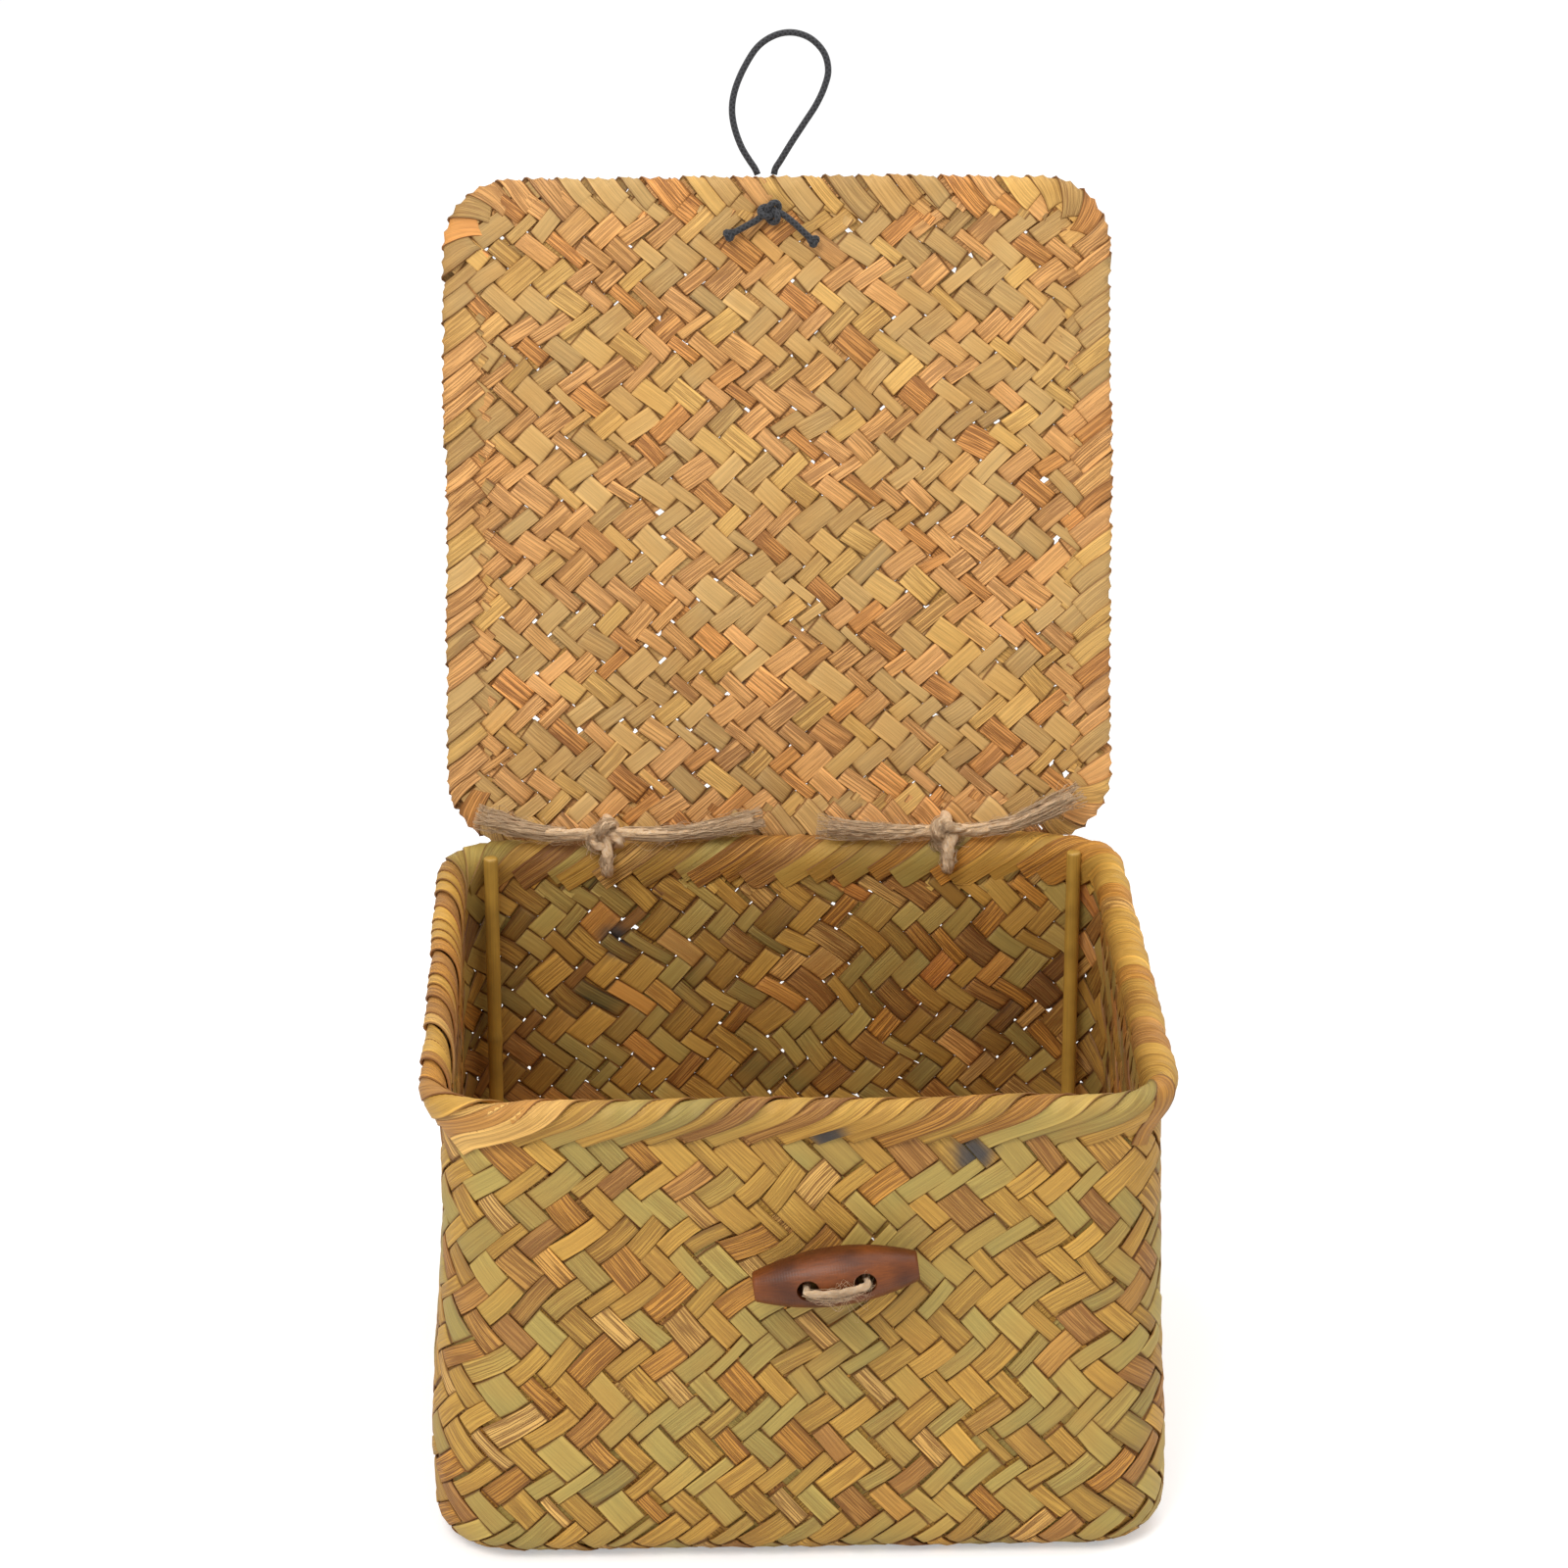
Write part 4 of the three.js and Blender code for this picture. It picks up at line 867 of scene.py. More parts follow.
class Fold:
    """Strips folded over an edge. Each comes out from under a crossing strip, runs along the
    fold's outline while it slides along the edge, and is tilted, so that its leading side
    lies on the next strip. Outline: points of (out, up) in millimetres, round the edge.
    Rates: millimetres along the edge for each along the outline, at lengths along it."""

    # In millimetres: the length tucked under the crossing strip, the length over which a lap
    # takes the fold's slant, the most that an end stops short, the depth of the tuck, how
    # rounded a lap is across, and the most that it stands off
    TUCK = 2.2
    SETTLE = 1.8
    SHORT = 4.5
    SINK = 1.1
    CROWN = 0.14
    LUMP = 0.18

    def __init__(self, rng, outline, rates, place, mirrored):
        self.rng = rng
        self.path = smooth_path([(a, b, 0) for a, b in outline], 0.5)[:, :2]
        tangent = unit(np.gradient(self.path, axis=0))
        turn = outline_turn(self.path)
        self.normal = np.stack([tangent[:, 1], -tangent[:, 0]], -1) * turn
        self.travel = lengths_along(self.path)
        self.rates = rates
        self.place = place
        self.mirrored = mirrored
        self.bundle = Bundle()

    def lap(self, u, emerge, rate, width, tone, groove, loose=False, stain=None, dry=0.0):
        """Folds one strip that comes out at u along the edge and a length along the outline, with its own
        rate there. Dry, up to 1, paints the strip paler and lighter as painted light, and makes it lie less
        flat."""
        rng, total = self.rng, self.travel[-1]
        tuck = min(self.TUCK, emerge)
        end = total - emerge + tuck if self.mirrored else total - self.SHORT * rng.uniform(0, 1) ** 0.7
        near = emerge + np.array((-tuck, -0.5, -0.2, 0.0, 0.2, 0.5, 1.0))
        far = np.linspace(emerge + 1.6, end, int((end - emerge) / 0.9))
        t = np.concatenate([near, far])
        settled = np.clip((t - emerge) / self.SETTLE, 0, 1)
        slant = rate + (np.interp(t, *self.rates) - rate) * settled
        slide = np.concatenate([[0], np.cumsum((slant[1:] + slant[:-1]) / 2 * np.diff(t))])
        slide = slide - np.interp(emerge, t, slide)
        lean = np.arctan(slant)
        # The strips spread where they bend over the edge
        half = width / 2 * (1 + (0 if self.mirrored else 0.18) * np.clip((t - emerge - 3) / 5, 0, 1))
        share = (t - t[0]) / (t[-1] - t[0])
        wave = rng.normal(0, 0.25) * np.sin(np.pi * share * rng.uniform(1, 2.5)) * settled
        across = RING_ACROSS * half[:, None]
        along_edge = (u + slide + wave)[:, None] + across * np.cos(lean)[:, None]
        # Across the strip is square to its own direction, so it also moves along the outline
        at = np.clip(t[:, None] - across * np.sin(lean)[:, None], 0, total)
        out = read_along(at, self.travel, self.path)
        face = unit(read_along(at, self.travel, self.normal))
        # Under the crossing strip at its start, and at its end where the fold is mirrored
        ahead = np.minimum(t - emerge, total - emerge - t) if self.mirrored else t - emerge
        shown = 0.5 + 0.5 * np.tanh(ahead / 0.25)
        if loose:
            shown = 1 + 0.7 * np.clip((emerge + 16 - t) / 8, 0, 1)
        tilt = (0.3 if self.mirrored else 0.36) * RING_ACROSS * np.clip(settled, 0.1, 1)[:, None]
        thick = sizes().strip_thickness / MM / 2
        height = tilt + thick * RING_OUT + self.CROWN * (1 - RING_ACROSS ** 2)
        lump = min(rng.normal(0, 0.1 + 0.14 * dry), self.LUMP)
        height = height + (lump * settled + self.SINK * (shown - 1))[:, None]
        spot = out + height[..., None] * face
        # Lift, near 0 where a lap is tucked under its crossing strip, gets painted shade there; the wider
        # edge value widens the brown edge line, which also paints the shade between laps
        values = dict(
            along=1.3 * t[:, None], across=across, edge=1.05 * RING_EDGE, inner=0.0, groove=groove,
            lift=1.0 if loose else np.abs(2 * shown[:, None] - 1),
            # Dry brightens the lap's shade value: painted light on the side rims
            shade=np.clip(1.6 * rng.normal(), -1.7, 1.7) + 1.3 * dry,
            tone=tone,
        )
        stained = np.zeros(len(t)) if stain is None else np.exp(-((t - stain[0]) / stain[1]) ** 4)
        self.bundle.add(
            self.place(along_edge, spot[..., 0], spot[..., 1]), stain=stained[:, None], **values,
        )


def outline_turn(path):
    """Above zero where an outline turns clockwise, so that its outside is on its left"""
    middle = path[len(path) // 2] - (path[0] + path[-1]) / 2
    step = path[len(path) // 2 + 1] - path[len(path) // 2 - 1]
    return 1.0 if step[1] * middle[0] - step[0] * middle[1] > 0 else -1.0


def fibres(bundle, rng, path, count, reach, spread, wave, radius, reference, lengths):
    """Loose fibres round a path. Each starts within the reach, as a share of the path, keeps
    its own share of the spread from the middle, and wanders by a sine wave each way."""
    tangent, side, up = path_frames(path, reference)
    share = np.linspace(0, 1, len(path))
    for _ in range(count):
        start = rng.uniform(*reach)
        stop = min(1.0, start + rng.uniform(*lengths))
        local = np.linspace(start, stop, max(6, int((stop - start) * len(path))))
        centre, sides, ups = (read_along(local, share, field) for field in (path, side, up))
        angle = rng.uniform(0, 2 * np.pi) + rng.normal(0, 1.2) * (local - start)
        far = math.sqrt(rng.uniform(0.02, 1)) * np.interp(local, *spread)
        run = (local - start) / max(stop - start, 1e-6)
        sway = [
            wave * rng.normal(0, 1) * np.sin(2 * np.pi * (rng.uniform(0.6, 2.4) * run + rng.uniform())) * run
            for _ in range(2)
        ]
        line = centre + (far * np.cos(angle) + sway[0])[:, None] * sides
        line = line + (far * np.sin(angle) + sway[1])[:, None] * ups
        thin = radius * rng.uniform(0.7, 1.2) * (1 - 0.5 * run)
        rings, along, around = tube_rings(line, thin, 4, reference)
        bundle.add(rings, along=along + 40 * rng.uniform(), around=around + 20 * rng.uniform())


def knot_path(centre, scale, turn=0.0):
    """An overhand knot pulled tight: (sin t + 2 sin 2t, cos t - 2 cos 2t, -sin 3t)"""
    t = np.linspace(0, 2 * np.pi, 240, endpoint=False)
    x = np.sin(t) + 2 * np.sin(2 * t)
    y = np.cos(t) - 2 * np.cos(2 * t)
    z = -np.sin(3 * t)
    turned = np.stack([
        x * math.cos(turn) - y * math.sin(turn), x * math.sin(turn) + y * math.cos(turn), z,
    ], -1)
    return np.asarray(centre) + scale * turned


# The camera's lens in millimetres, its place in metres and its direction
CAMERA_LENS = 113.2
CAMERA_PLACE = (-0.0367, -1.1683, 0.5962)
CAMERA_LOOK = (0.0279, 0.9393, -0.3420)
# Lamps: place and diameter in metres, and power in watts
LAMPS = {"key_lamp": ((-0.55, -1.1, 1.5), 0.9, 17.0), "top_lamp": ((0.5, 0.1, 1.7), 1.2, 9.0)}
LAMP_TARGET = (0, 0, 0.12)
FLOOR_HALF = 6.0
FLOOR_LEVEL = -0.0002


class PieceOperator:
    """What every operator here shares: it can be undone"""

    bl_options = {"REGISTER", "UNDO"}


class LIDDEDBOX_OT_camera(PieceOperator, bpy.types.Operator):
    """Adds the camera at the photograph's angle, 1.24 m away and 20 degrees above"""

    bl_idname = "lidded_box.camera"
    bl_label = "Camera"

    def execute(self, context):
        lens = bpy.data.cameras.new("camera")
        lens.lens = CAMERA_LENS
        lens.clip_start, lens.clip_end = 0.01, 50
        context.scene.camera = placed("camera", lens, CAMERA_PLACE, Vector(CAMERA_LOOK))
        context.scene.view_settings.view_transform = "Standard"
        return {"FINISHED"}


def tie_knot(side):
    """Centre of a tie's knot: in front of the lid, on the rim's inner shoulder"""
    return np.array((TIE_X[side], KNOT_Y, BOX_HEIGHT + KNOT_ABOVE_RIM))


# Where the ties bend, in y and z, and the toggle's twine in y, in metres
TIE_BEND = ((0.088, 0.1145), (0.096, 0.127))
# Routes of the ties' loose ends, as offsets from the knot in millimetres
TAIL_ROUTES = {
    "left_outer": ((-5.4, 0, 0), (-8.8, 0.1, -0.2), (-12.2, 0.3, -0.2), (-15.6, 0.6, 0.1),
                   (-19, 1, 0.5), (-22.4, 1.5, 1.1), (-25.8, 2.1, 1.8), (-29.2, 2.7, 2.6),
                   (-32.6, 3.4, 3.4)),
    "left_inner": ((5.4, 0, 0), (9.7, 0.1, -0.3), (14, 0.3, -0.4), (18.3, 0.6, -0.3),
                   (22.6, 1, 0), (26.9, 1.5, 0.5), (31.2, 2, 1.1), (35.4, 2.5, 1.8),
                   (39.6, 3, 2.6)),
    "right_inner": ((-5.4, 0, 0), (-8.8, 0, -0.2), (-12.2, 0.1, -0.4), (-15.6, 0.3, -0.4),
                    (-19, 0.5, -0.3), (-22.4, 0.7, -0.2), (-25.8, 0.9, 0), (-29.2, 1.2, 0.2),
                    (-32.6, 1.5, 0.5)),
    "right_outer": ((5.4, 0, 0), (9, 0.2, 0.1), (12.6, 0.5, 0.5), (16.2, 0.9, 1.1),
                    (19.8, 1.5, 2), (23.4, 2.2, 3.2), (27, 3, 4.6), (30.5, 3.9, 6.2),
                    (34, 4.8, 7.9)),
}
# Route of the elastic loop in the lid's frame: x, and y past the lid's front edge
LOOP_ROUTE = ((-4.9, 0.8), (-5.6, 2.4), (-7.2, 4.8), (-9.2, 8.2), (-11.1, 13.6), (-11.7, 18.3),
              (-11, 23.1), (-8.4, 29.4), (-4.2, 35.5), (0.8, 38.4), (5.4, 38.8), (9.9, 37.1),
              (13.4, 33.2), (14.4, 28.6), (13.4, 24.4), (11.2, 19.7), (7.9, 14.7), (4.4, 9.5),
              (1.2, 4.4), (-0.1, 2.4), (-0.5, 0.8))
LID_NORMAL = (0.0, -math.cos(LID_LEAN), math.sin(LID_LEAN))


class LIDDEDBOX_OT_tails(PieceOperator, bpy.types.Operator):
    """Makes the four loose ends of the ties, each frayed to a brush"""

    bl_idname = "lidded_box.tails"
    bl_label = "Loose ends of the ties"

    def execute(self, context):
        rng = np.random.default_rng(41)
        jute = jute_material("raw_jute")
        for key, route in TAIL_ROUTES.items():
            knot = tie_knot(key.split("_")[0])
            points = [knot] + [knot + np.array(step) for step in route]
            path = smooth_path(points, 0.6)
            share = np.linspace(0, 1, len(path))
            node = f"tie_tail_{key}"
            bundle = Bundle()
            radius = sizes().tail_diameter / MM / 2
            thin = radius * np.interp(share, (0, 0.2, 0.7, 1), (0.92, 0.95, 1.0, 0.9))
            bundle.tube(path, thin, 18, (0, 0, 1), plies=3, twist=0.42, relief=0.1)
            cord = bundle.piece(f"{node}_twine", jute, None, "jute", (node,))
            loose = Bundle()
            end = 2 * path[-1] - path[-6]
            brush = smooth_path(np.vstack([path[:-4:6], path[-1:], end[None]]), 0.7)
            fibres(loose, rng, brush, count=90, reach=(0.1, 0.6), spread=((0, 0.5, 1), (1.9, 2.3, 3.6)),
                   wave=0.5, radius=0.21, reference=(0, 0, 1), lengths=(0.3, 0.8))
            fibres(loose, rng, brush, count=60, reach=(0.0, 0.8), spread=((0, 1), (2.4, 3.8)),
                   wave=1.3, radius=0.08, reference=(0, 0, 1), lengths=(0.12, 0.4))
            hair = loose.piece(f"{node}_fibres", jute, None, "jute")
            blend_over_hinge(knot[0], cord, hair)
        return {"FINISHED"}


def blend_over_hinge(x, *pieces):
    """Bakes each piece's transform into its mesh. The ends of the ties' bend, between the rim and the lid's
    back edge, are worked out but not used.
    """
    for piece in pieces:
        start, end = ((x * MM, *place) for place in TIE_BEND)
        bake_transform(piece)
        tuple(start)
        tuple(end)


class LIDDEDBOX_OT_loop(PieceOperator, bpy.types.Operator):
    """Makes the elastic loop past the lid's front edge"""

    bl_idname = "lidded_box.loop"
    bl_label = "Elastic loop"

    def execute(self, context):
        points = lid_place(
            np.array([x for x, _ in LOOP_ROUTE]), LID_FRONT + np.array([y for _, y in LOOP_ROUTE]),
            np.full(len(LOOP_ROUTE), ELASTIC_DEPTH),
        )
        path = smooth_path(points, 0.7)
        bundle = Bundle()
        bundle.tube(path, sizes().elastic_diameter / MM / 2, 12, LID_NORMAL)
        elastic = elastic_material("braided_elastic")
        cord = bundle.piece("elastic_loop_cord", elastic, "loop", "elastic", ("elastic_loop",))
        return {"FINISHED"}


class LIDDEDBOX_OT_wall(PieceOperator, bpy.types.Operator):
    """Plaits the walls of falling and rising strips"""

    bl_idname = "lidded_box.wall"
    bl_label = "Plaited walls"

    def execute(self, context):
        plait = wall_plait()
        looks = wall_looks()
        for name, side in SIDES.items():
            bundle = Bundle()
            tone, groove = looks[own(side)]
            for index in range(sizes().wall_strips):
                lean, centre, _, _, _ = plait.lines(side, index)
                low, high = (
                    (v - centre * math.cos(lean)) / math.sin(lean) for v in (0.3, WALL_TOP + WALL_RISE)
                )
                rings, values = plait.strip(side, index, low, high, tone[index], groove[index])
                stain = 0.0
                for mark in CHARRED if side < 0 else ():
                    stain = stain + np.exp(-(np.linalg.norm(rings - mark, axis=-1) / CHARRED_RADIUS) ** 6)
                bundle.add(rings, stain=stain, **values)
            bundle.piece(f"wall_strips_{name}", wall_seagrass(), "basket", "seagrass", ("woven_basket",),
                         SHARP)
        return {"FINISHED"}


class LIDDEDBOX_OT_base(PieceOperator, bpy.types.Operator):
    """Plaits the base, on the flange that the wall's strips make under it"""

    bl_idname = "lidded_box.base"
    bl_label = "Plaited base"

    def execute(self, context):
        def place(x, y, h):
            beyond = np.maximum(np.maximum(np.abs(x), np.abs(y)) - BASE_FLAT_HALF, 0)
            return np.stack([x, y, BASE_LEVEL + h * 0.6 + 0.05 * beyond ** 2], -1)

        rng = np.random.default_rng(31)
        edges = [edges_of_strips(rng, -BASE_LINES, BASE_LINES, BASE_PITCH) for _ in range(2)]
        lean = math.radians(45)
        plait = Plait(32, (lean, lean), edges, -BASE_LINES, place, gap=0.1, slack=0.4)
        looks = strip_looks(rng, 2 * BASE_LINES)
        bundle = Bundle()
        for side in SIDES.values():
            flat_plait(bundle, side, plait, BASE_HALF, BASE_HALF, BASE_CORNER, looks)
        bundle.piece("base_plait", wall_seagrass(), "basket", "seagrass", ("woven_basket",), SHARP)
        return {"FINISHED"}


class LIDDEDBOX_OT_rim(PieceOperator, bpy.types.Operator):
    """Folds the wall's rising strips over the rim, and lays the cane hoop inside"""

    bl_idname = "lidded_box.rim"
    bl_label = "Folded rim and hoop"

    def execute(self, context):
        plait, count = wall_plait(), sizes().wall_strips

        def place(u, out, up):
            x, y, nx, ny = plan_path(u, WALL_HALF, WALL_HALF, WALL_CORNER)
            # The left rim stands 0.6 mm further out than in the model, and the right one 0.6 mm less
            out = out + 0.3 * waver(u, 115.0, 7) - 0.6 * nx
            up = up + 0.3 * waver(u, 0.0, 9)
            return np.stack([x + out * nx, y + out * ny, up], -1)

        outline = ((0.3, RIM_START), (0.5, 109), (0.85, 111), (1.6, 113), (2.7, 115), (3.9, 117.2),
                   (4.8, 119.3), (4.9, 121.2), (4, 122.5), (2.4, 123), (0.7, 122.5),
                   (-0.8, 121.2), (-1.7, 119.2), (-1.9, 117), (-1.7, 115), (-1.4, 112.5), (-1.2, 109.5))
        rng = np.random.default_rng(51)
        rates = ((5, 12, 16, 21, 27), (1.85, 1.75, 1.3, 1.15, 1.5))
        fold = Fold(rng, outline, rates, place, mirrored=False)
        tone, groove = wall_looks()[1]
        for index in range(count):
            lean, centre, width, _, _ = plait.lines(1, index)
            target = (RIM_FOLD_FOOT + WALL_RISE - centre * math.cos(lean)) / math.sin(lean)
            u, v = plait.nearest_line(1, index, target)
            emerge = v - WALL_RISE - RIM_START
            # One strip end came loose at the front left corner
            away = abs((u - LOOSE_END + WALL_LENGTH / 2) % WALL_LENGTH - WALL_LENGTH / 2)
            loose = away < WALL_LENGTH / count / 2
            wide = 0.55 * width + 0.5 * WALL_LENGTH * math.sin(lean) / count
            # Painted light: the side rims' laps are painted paler and lighter than the front and the back,
            # and lie less flat
            dry = abs(float(plan_path(np.array([u]), WALL_HALF, WALL_HALF, WALL_CORNER)[2][0]))
            look = 0.98 if loose else tone[index] + 0.45 * dry * (1 - tone[index])
            stain = (7.5, 2.4) if index == RIM_CHARRED_LAP else None
            fold.lap(u, emerge, 1 / math.tan(lean), wide, look, groove[index], loose, stain, dry)
        # Another end hangs down over the front right corner
        hanging = Fold(rng, outline, ((0, 30), (0.3, 0.3)), place, mirrored=False)
        hanging.bundle = fold.bundle
        hanging.lap(HANGING_END, emerge=3.4, rate=0.3, width=5.4, tone=0.9, groove=0.6, loose=True)
        fold.bundle.piece("rim_strips", wall_seagrass(), "basket", "seagrass_fold", ("rim_border",),
                          SHARP)
        self.hoop()
        return {"FINISHED"}

    def hoop(self):
        lo, hi = (np.array(corner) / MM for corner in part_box("rim_hoop"))
        half, height = (hi[0] - lo[0]) / 2 - HOOP_RADIUS, (hi[2] + lo[2]) / 2
        distance = np.linspace(0, plan_length(half, half, HOOP_CORNER), 260, endpoint=False)
        x, y, _, _ = plan_path(distance, half, half, HOOP_CORNER)
        bundle = Bundle()
        bundle.tube(np.stack([x, y, 0 * x + height], -1), CANE_RADIUS, 12, (0, 0, 1), closed=True)
        bundle.piece("rim_hoop_cane", cane_material("peeled_cane"), "basket", "cane", ("rim_hoop",))


class LIDDEDBOX_OT_stakes(PieceOperator, bpy.types.Operator):
    """Stands a bamboo stake with its node in each corner"""

    bl_idname = "lidded_box.stakes"
    bl_label = "Bamboo corner stakes"

    def execute(self, context):
        rng = np.random.default_rng(61)
        for number, node_share in enumerate((0.42, 0.66, 0.3, 0.55), 1):
            lo, hi = (np.array(corner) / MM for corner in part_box(f"corner_stake_{number}"))
            middle, height = (lo + hi) / 2, hi[2] - lo[2] + (BACK_STAKE_RISE if number > 2 else 0)
            level = np.concatenate([[0, 0.0025], np.linspace(0.006, 0.994, 90), [0.9975, 1]])
            node = np.exp(-(((level - node_share) * height / 1.5) ** 2))
            ridge = np.exp(-(((level - node_share) * height / 0.45 - 1.4) ** 2))
            ends = np.interp(level * height, (0, 0.35, height - 0.35, height), (0.84, 1, 1, 0.84))
            radius = (STAKE_RADIUS + 0.3 * node + 0.1 * ridge) * ends
            bow = 0.15 * np.sin(np.pi * level)
            path = np.stack([
                middle[0] - np.sign(middle[0]) * bow, middle[1] - np.sign(middle[1]) * bow,
                lo[2] + level * height,
            ], -1)
            rings, _, _ = tube_rings(path, radius, 32, (0, 1, 0))
            bundle = Bundle()
            bundle.add(rings, node=(0.55 * ridge + 0.2 * node)[:, None] + rng.normal(0, 0.001))
            bundle.piece(f"corner_stake_{number}_bamboo", bamboo_material("scraped_bamboo"), "basket",
                         "bamboo", (f"corner_stake_{number}",), sharp=math.radians(50))
        return {"FINISHED"}


class LIDDEDBOX_OT_lid(PieceOperator, bpy.types.Operator):
    """Plaits the lid's panel and folds its strips over all four edges"""

    bl_idname = "lidded_box.lid"
    bl_label = "Plaited lid"

    def execute(self, context):
        rng = np.random.default_rng(71)
        lean, foot = sizes().lid_lean, sizes().lid_fold / MM
        # Whole rows fit between the feet of the folds at the front and the back
        span = 2 * (LID_HALF_Y - foot) * 2 * math.cos(lean)
        rows = round(span / (sizes().lid_pitch / MM) / 4) * 4 + 2
        shift = (2 - rows / 2 - 1) / 2 % 2
        edges = [edges_of_strips(rng, -LID_LINES, LID_LINES, span / rows, 0, shift) for _ in range(2)]
        plait = Plait(72, (lean, lean), edges, -LID_LINES, lid_sheet, gap=-0.16, slack=1.5)
        looks = [strip_looks(rng, len(edges[0])) for _ in range(2)]
        panel = [size - LID_PANEL_INSET for size in (LID_HALF_X, LID_HALF_Y, LID_CORNER)]
        for name, side in SIDES.items():
            bundle = Bundle()
            flat_plait(bundle, side, plait, *panel, looks[own(side)])
            bundle.piece(f"lid_strips_{name}", lid_seagrass(), "lid", "lid_seagrass", ("lid_panel",), SHARP)

        def place(u, out, up):
            x, y, nx, ny = plan_path(u, LID_HALF_X, LID_HALF_Y, LID_CORNER)
            out = out + 0.3 * waver(u, 0.0, 17, LID_LENGTH)
            return lid_place(
                x + out * nx, y + out * ny + LID_HALF_Y - LID_BEHIND_AXIS, LID_MIDDLE + up
            )

        upper = ((-LID_FOLD_REACH, 0.75), (-11, 0.8), (-8, 0.85), (-5.5, 0.95), (-2.4, 1.2), (-0.8, 1.05),
                 (-0.1, 0.5))
        outline = upper + ((0, 0),) + tuple((out, -up) for out, up in reversed(upper))
        fold = Fold(rng, outline, ((0, 11, 18, 40), (1.0, 0.75, 0.7, 0.9)), place, mirrored=True)
        laps = [lap for turn in range(4) for lap in self.side_laps(plait, looks, turn, foot)]
        laps.sort()
        # Corners have no strip of the plait to follow: theirs are spread over the room there
        ends = np.array([lap[0] for lap in laps] + [laps[0][0] + LID_LENGTH])
        for number in np.flatnonzero(np.diff(ends) > LID_CORNER_GAP):
            more = round(np.diff(ends)[number] / LID_CORNER_PITCH)
            for u in np.linspace(ends[number], ends[number + 1], more + 1)[1:-1]:
                emerge = LID_FOLD_REACH - foot + rng.normal(0, 0.5)
                laps.append((u, emerge, 0.8, 7, rng.uniform(), rng.uniform(0.2, 0.8)))
        for lap in laps:
            fold.lap(*lap)
        fold.bundle.piece("lid_edge_strips", lid_seagrass(), "lid", "lid_seagrass_fold", ("lid_border",),
                          SHARP)
        return {"FINISHED"}

    def side_laps(self, plait, looks, turn, foot):
        """Folded strips of one side: those that fall at the front and back, and those that
        rise at the sides. Turn counts the sides from the back of the lid, as plan_path does."""
        side = -1 if turn % 2 == 0 else 1
        spans = (2 * (LID_HALF_X - LID_CORNER), 2 * (LID_HALF_Y - LID_CORNER))
        arc = math.pi / 2 * LID_CORNER
        start = sum(spans[k % 2] + arc for k in range(turn))
        outward = 1 if turn in (1, 2) else -1
        half = LID_HALF_Y if side < 0 else LID_HALF_X
        for index in range(plait.first + 2, plait.first + len(plait.edges[0]) - 3):
            lean, centre, width, _, _ = plait.lines(side, index)
            if side < 0:
                target = (outward * (half - foot) - centre * math.cos(lean)) / math.sin(lean)
            else:
                target = (outward * (half - foot) + centre * math.sin(lean)) / math.cos(lean)
            x, y = plait.nearest_line(side, index, target)
            run, inset = ((x, half - outward * y) if side < 0 else (y, half - outward * x))
            room = spans[turn % 2] / 2
            if abs(run) < room + 1:
                rate = 1 / math.tan(lean) if side < 0 else math.tan(lean)
                tone, groove = (look[index % len(look)] for look in looks[own(side)])
                yield (start + room + (run if turn in (0, 1) else -run), LID_FOLD_REACH - inset, rate,
                       1.1 * width, tone, groove)


class LIDDEDBOX_OT_ties(PieceOperator, bpy.types.Operator):
    """Ties the lid to the basket with two rings of jute twine, each with its knot"""

    bl_idname = "lidded_box.ties"
    bl_label = "Jute ties"

    def execute(self, context):
        rng = np.random.default_rng(81)
        radius = sizes().tie_diameter / MM / 2
        bend = 1.6 * radius
        inner = WALL_HALF - RIM_INWARD - CLEARANCE - radius
        outer = WALL_HALF + RIM_OUTWARD + CLEARANCE + radius
        jute = jute_material("raw_jute")
        for side, x in TIE_X.items():
            mouth, back = (
                lid_place(np.array(x), TIE_LID_INSET, LID_MIDDLE + out)
                for out in (LID_HALF_THICKNESS, -LID_HALF_THICKNESS)
            )
            knot = tie_knot(side)
            points = [
                knot, mouth, back, (x, back[1] + bend, back[2] - 0.8 * bend),
                (x, back[1] + bend, HINGE[2] - bend), (x, back[1] - 0.2 * bend, TIE_HOLE_Z + 0.9 * bend),
                (x, outer, TIE_HOLE_Z), (x, WALL_HALF, TIE_HOLE_Z), (x, inner + radius, TIE_HOLE_Z),
                (x, inner - 0.3, TIE_HOLE_Z + radius), (x, inner - 0.3, BOX_HEIGHT - 5.5),
                (x, inner, BOX_HEIGHT - radius),
            ]
            path = smooth_path(points, 0.6, closed=True)
            bundle = Bundle()
            bundle.tube(path, radius, 18, (1, 0, 0), True, plies=3, twist=0.5, relief=0.1)
            tight = knot_path((0, 0, 0), KNOT_SIZE, rng.uniform(0, 2))
            tight = knot + tight[:, (0, 2, 1)] * (1, -1.2, 0.9) - (0, 0.6, 0.4)
            bundle.tube(tight, KNOT_STRAND_RADIUS, 14, (0, 1, 0), True, plies=3, twist=0.7, relief=0.16)
            tie = bundle.piece(f"hinge_tie_{side}_twine", jute, None, "jute", (f"hinge_tie_{side}",))
            loose = Bundle()
            for part in (tight[20:110], tight[130:220]):
                fibres(loose, rng, part, count=70, reach=(0, 0.7), spread=((0, 1), (1.6, 2.8)),
                       wave=1.2, radius=0.12, reference=(0, 1, 0), lengths=(0.3, 0.7))
            run = smooth_path(points[8:], 0.6)
            fibres(loose, rng, run, count=60, reach=(0, 0.7), spread=((0, 1), (1.8, 2.7)),
                   wave=0.7, radius=0.14, reference=(1, 0, 0), lengths=(0.2, 0.6))
            hair = loose.piece(f"hinge_tie_{side}_fibres", jute, None, "jute")
            blend_over_hinge(x, tie, hair)
        return {"FINISHED"}


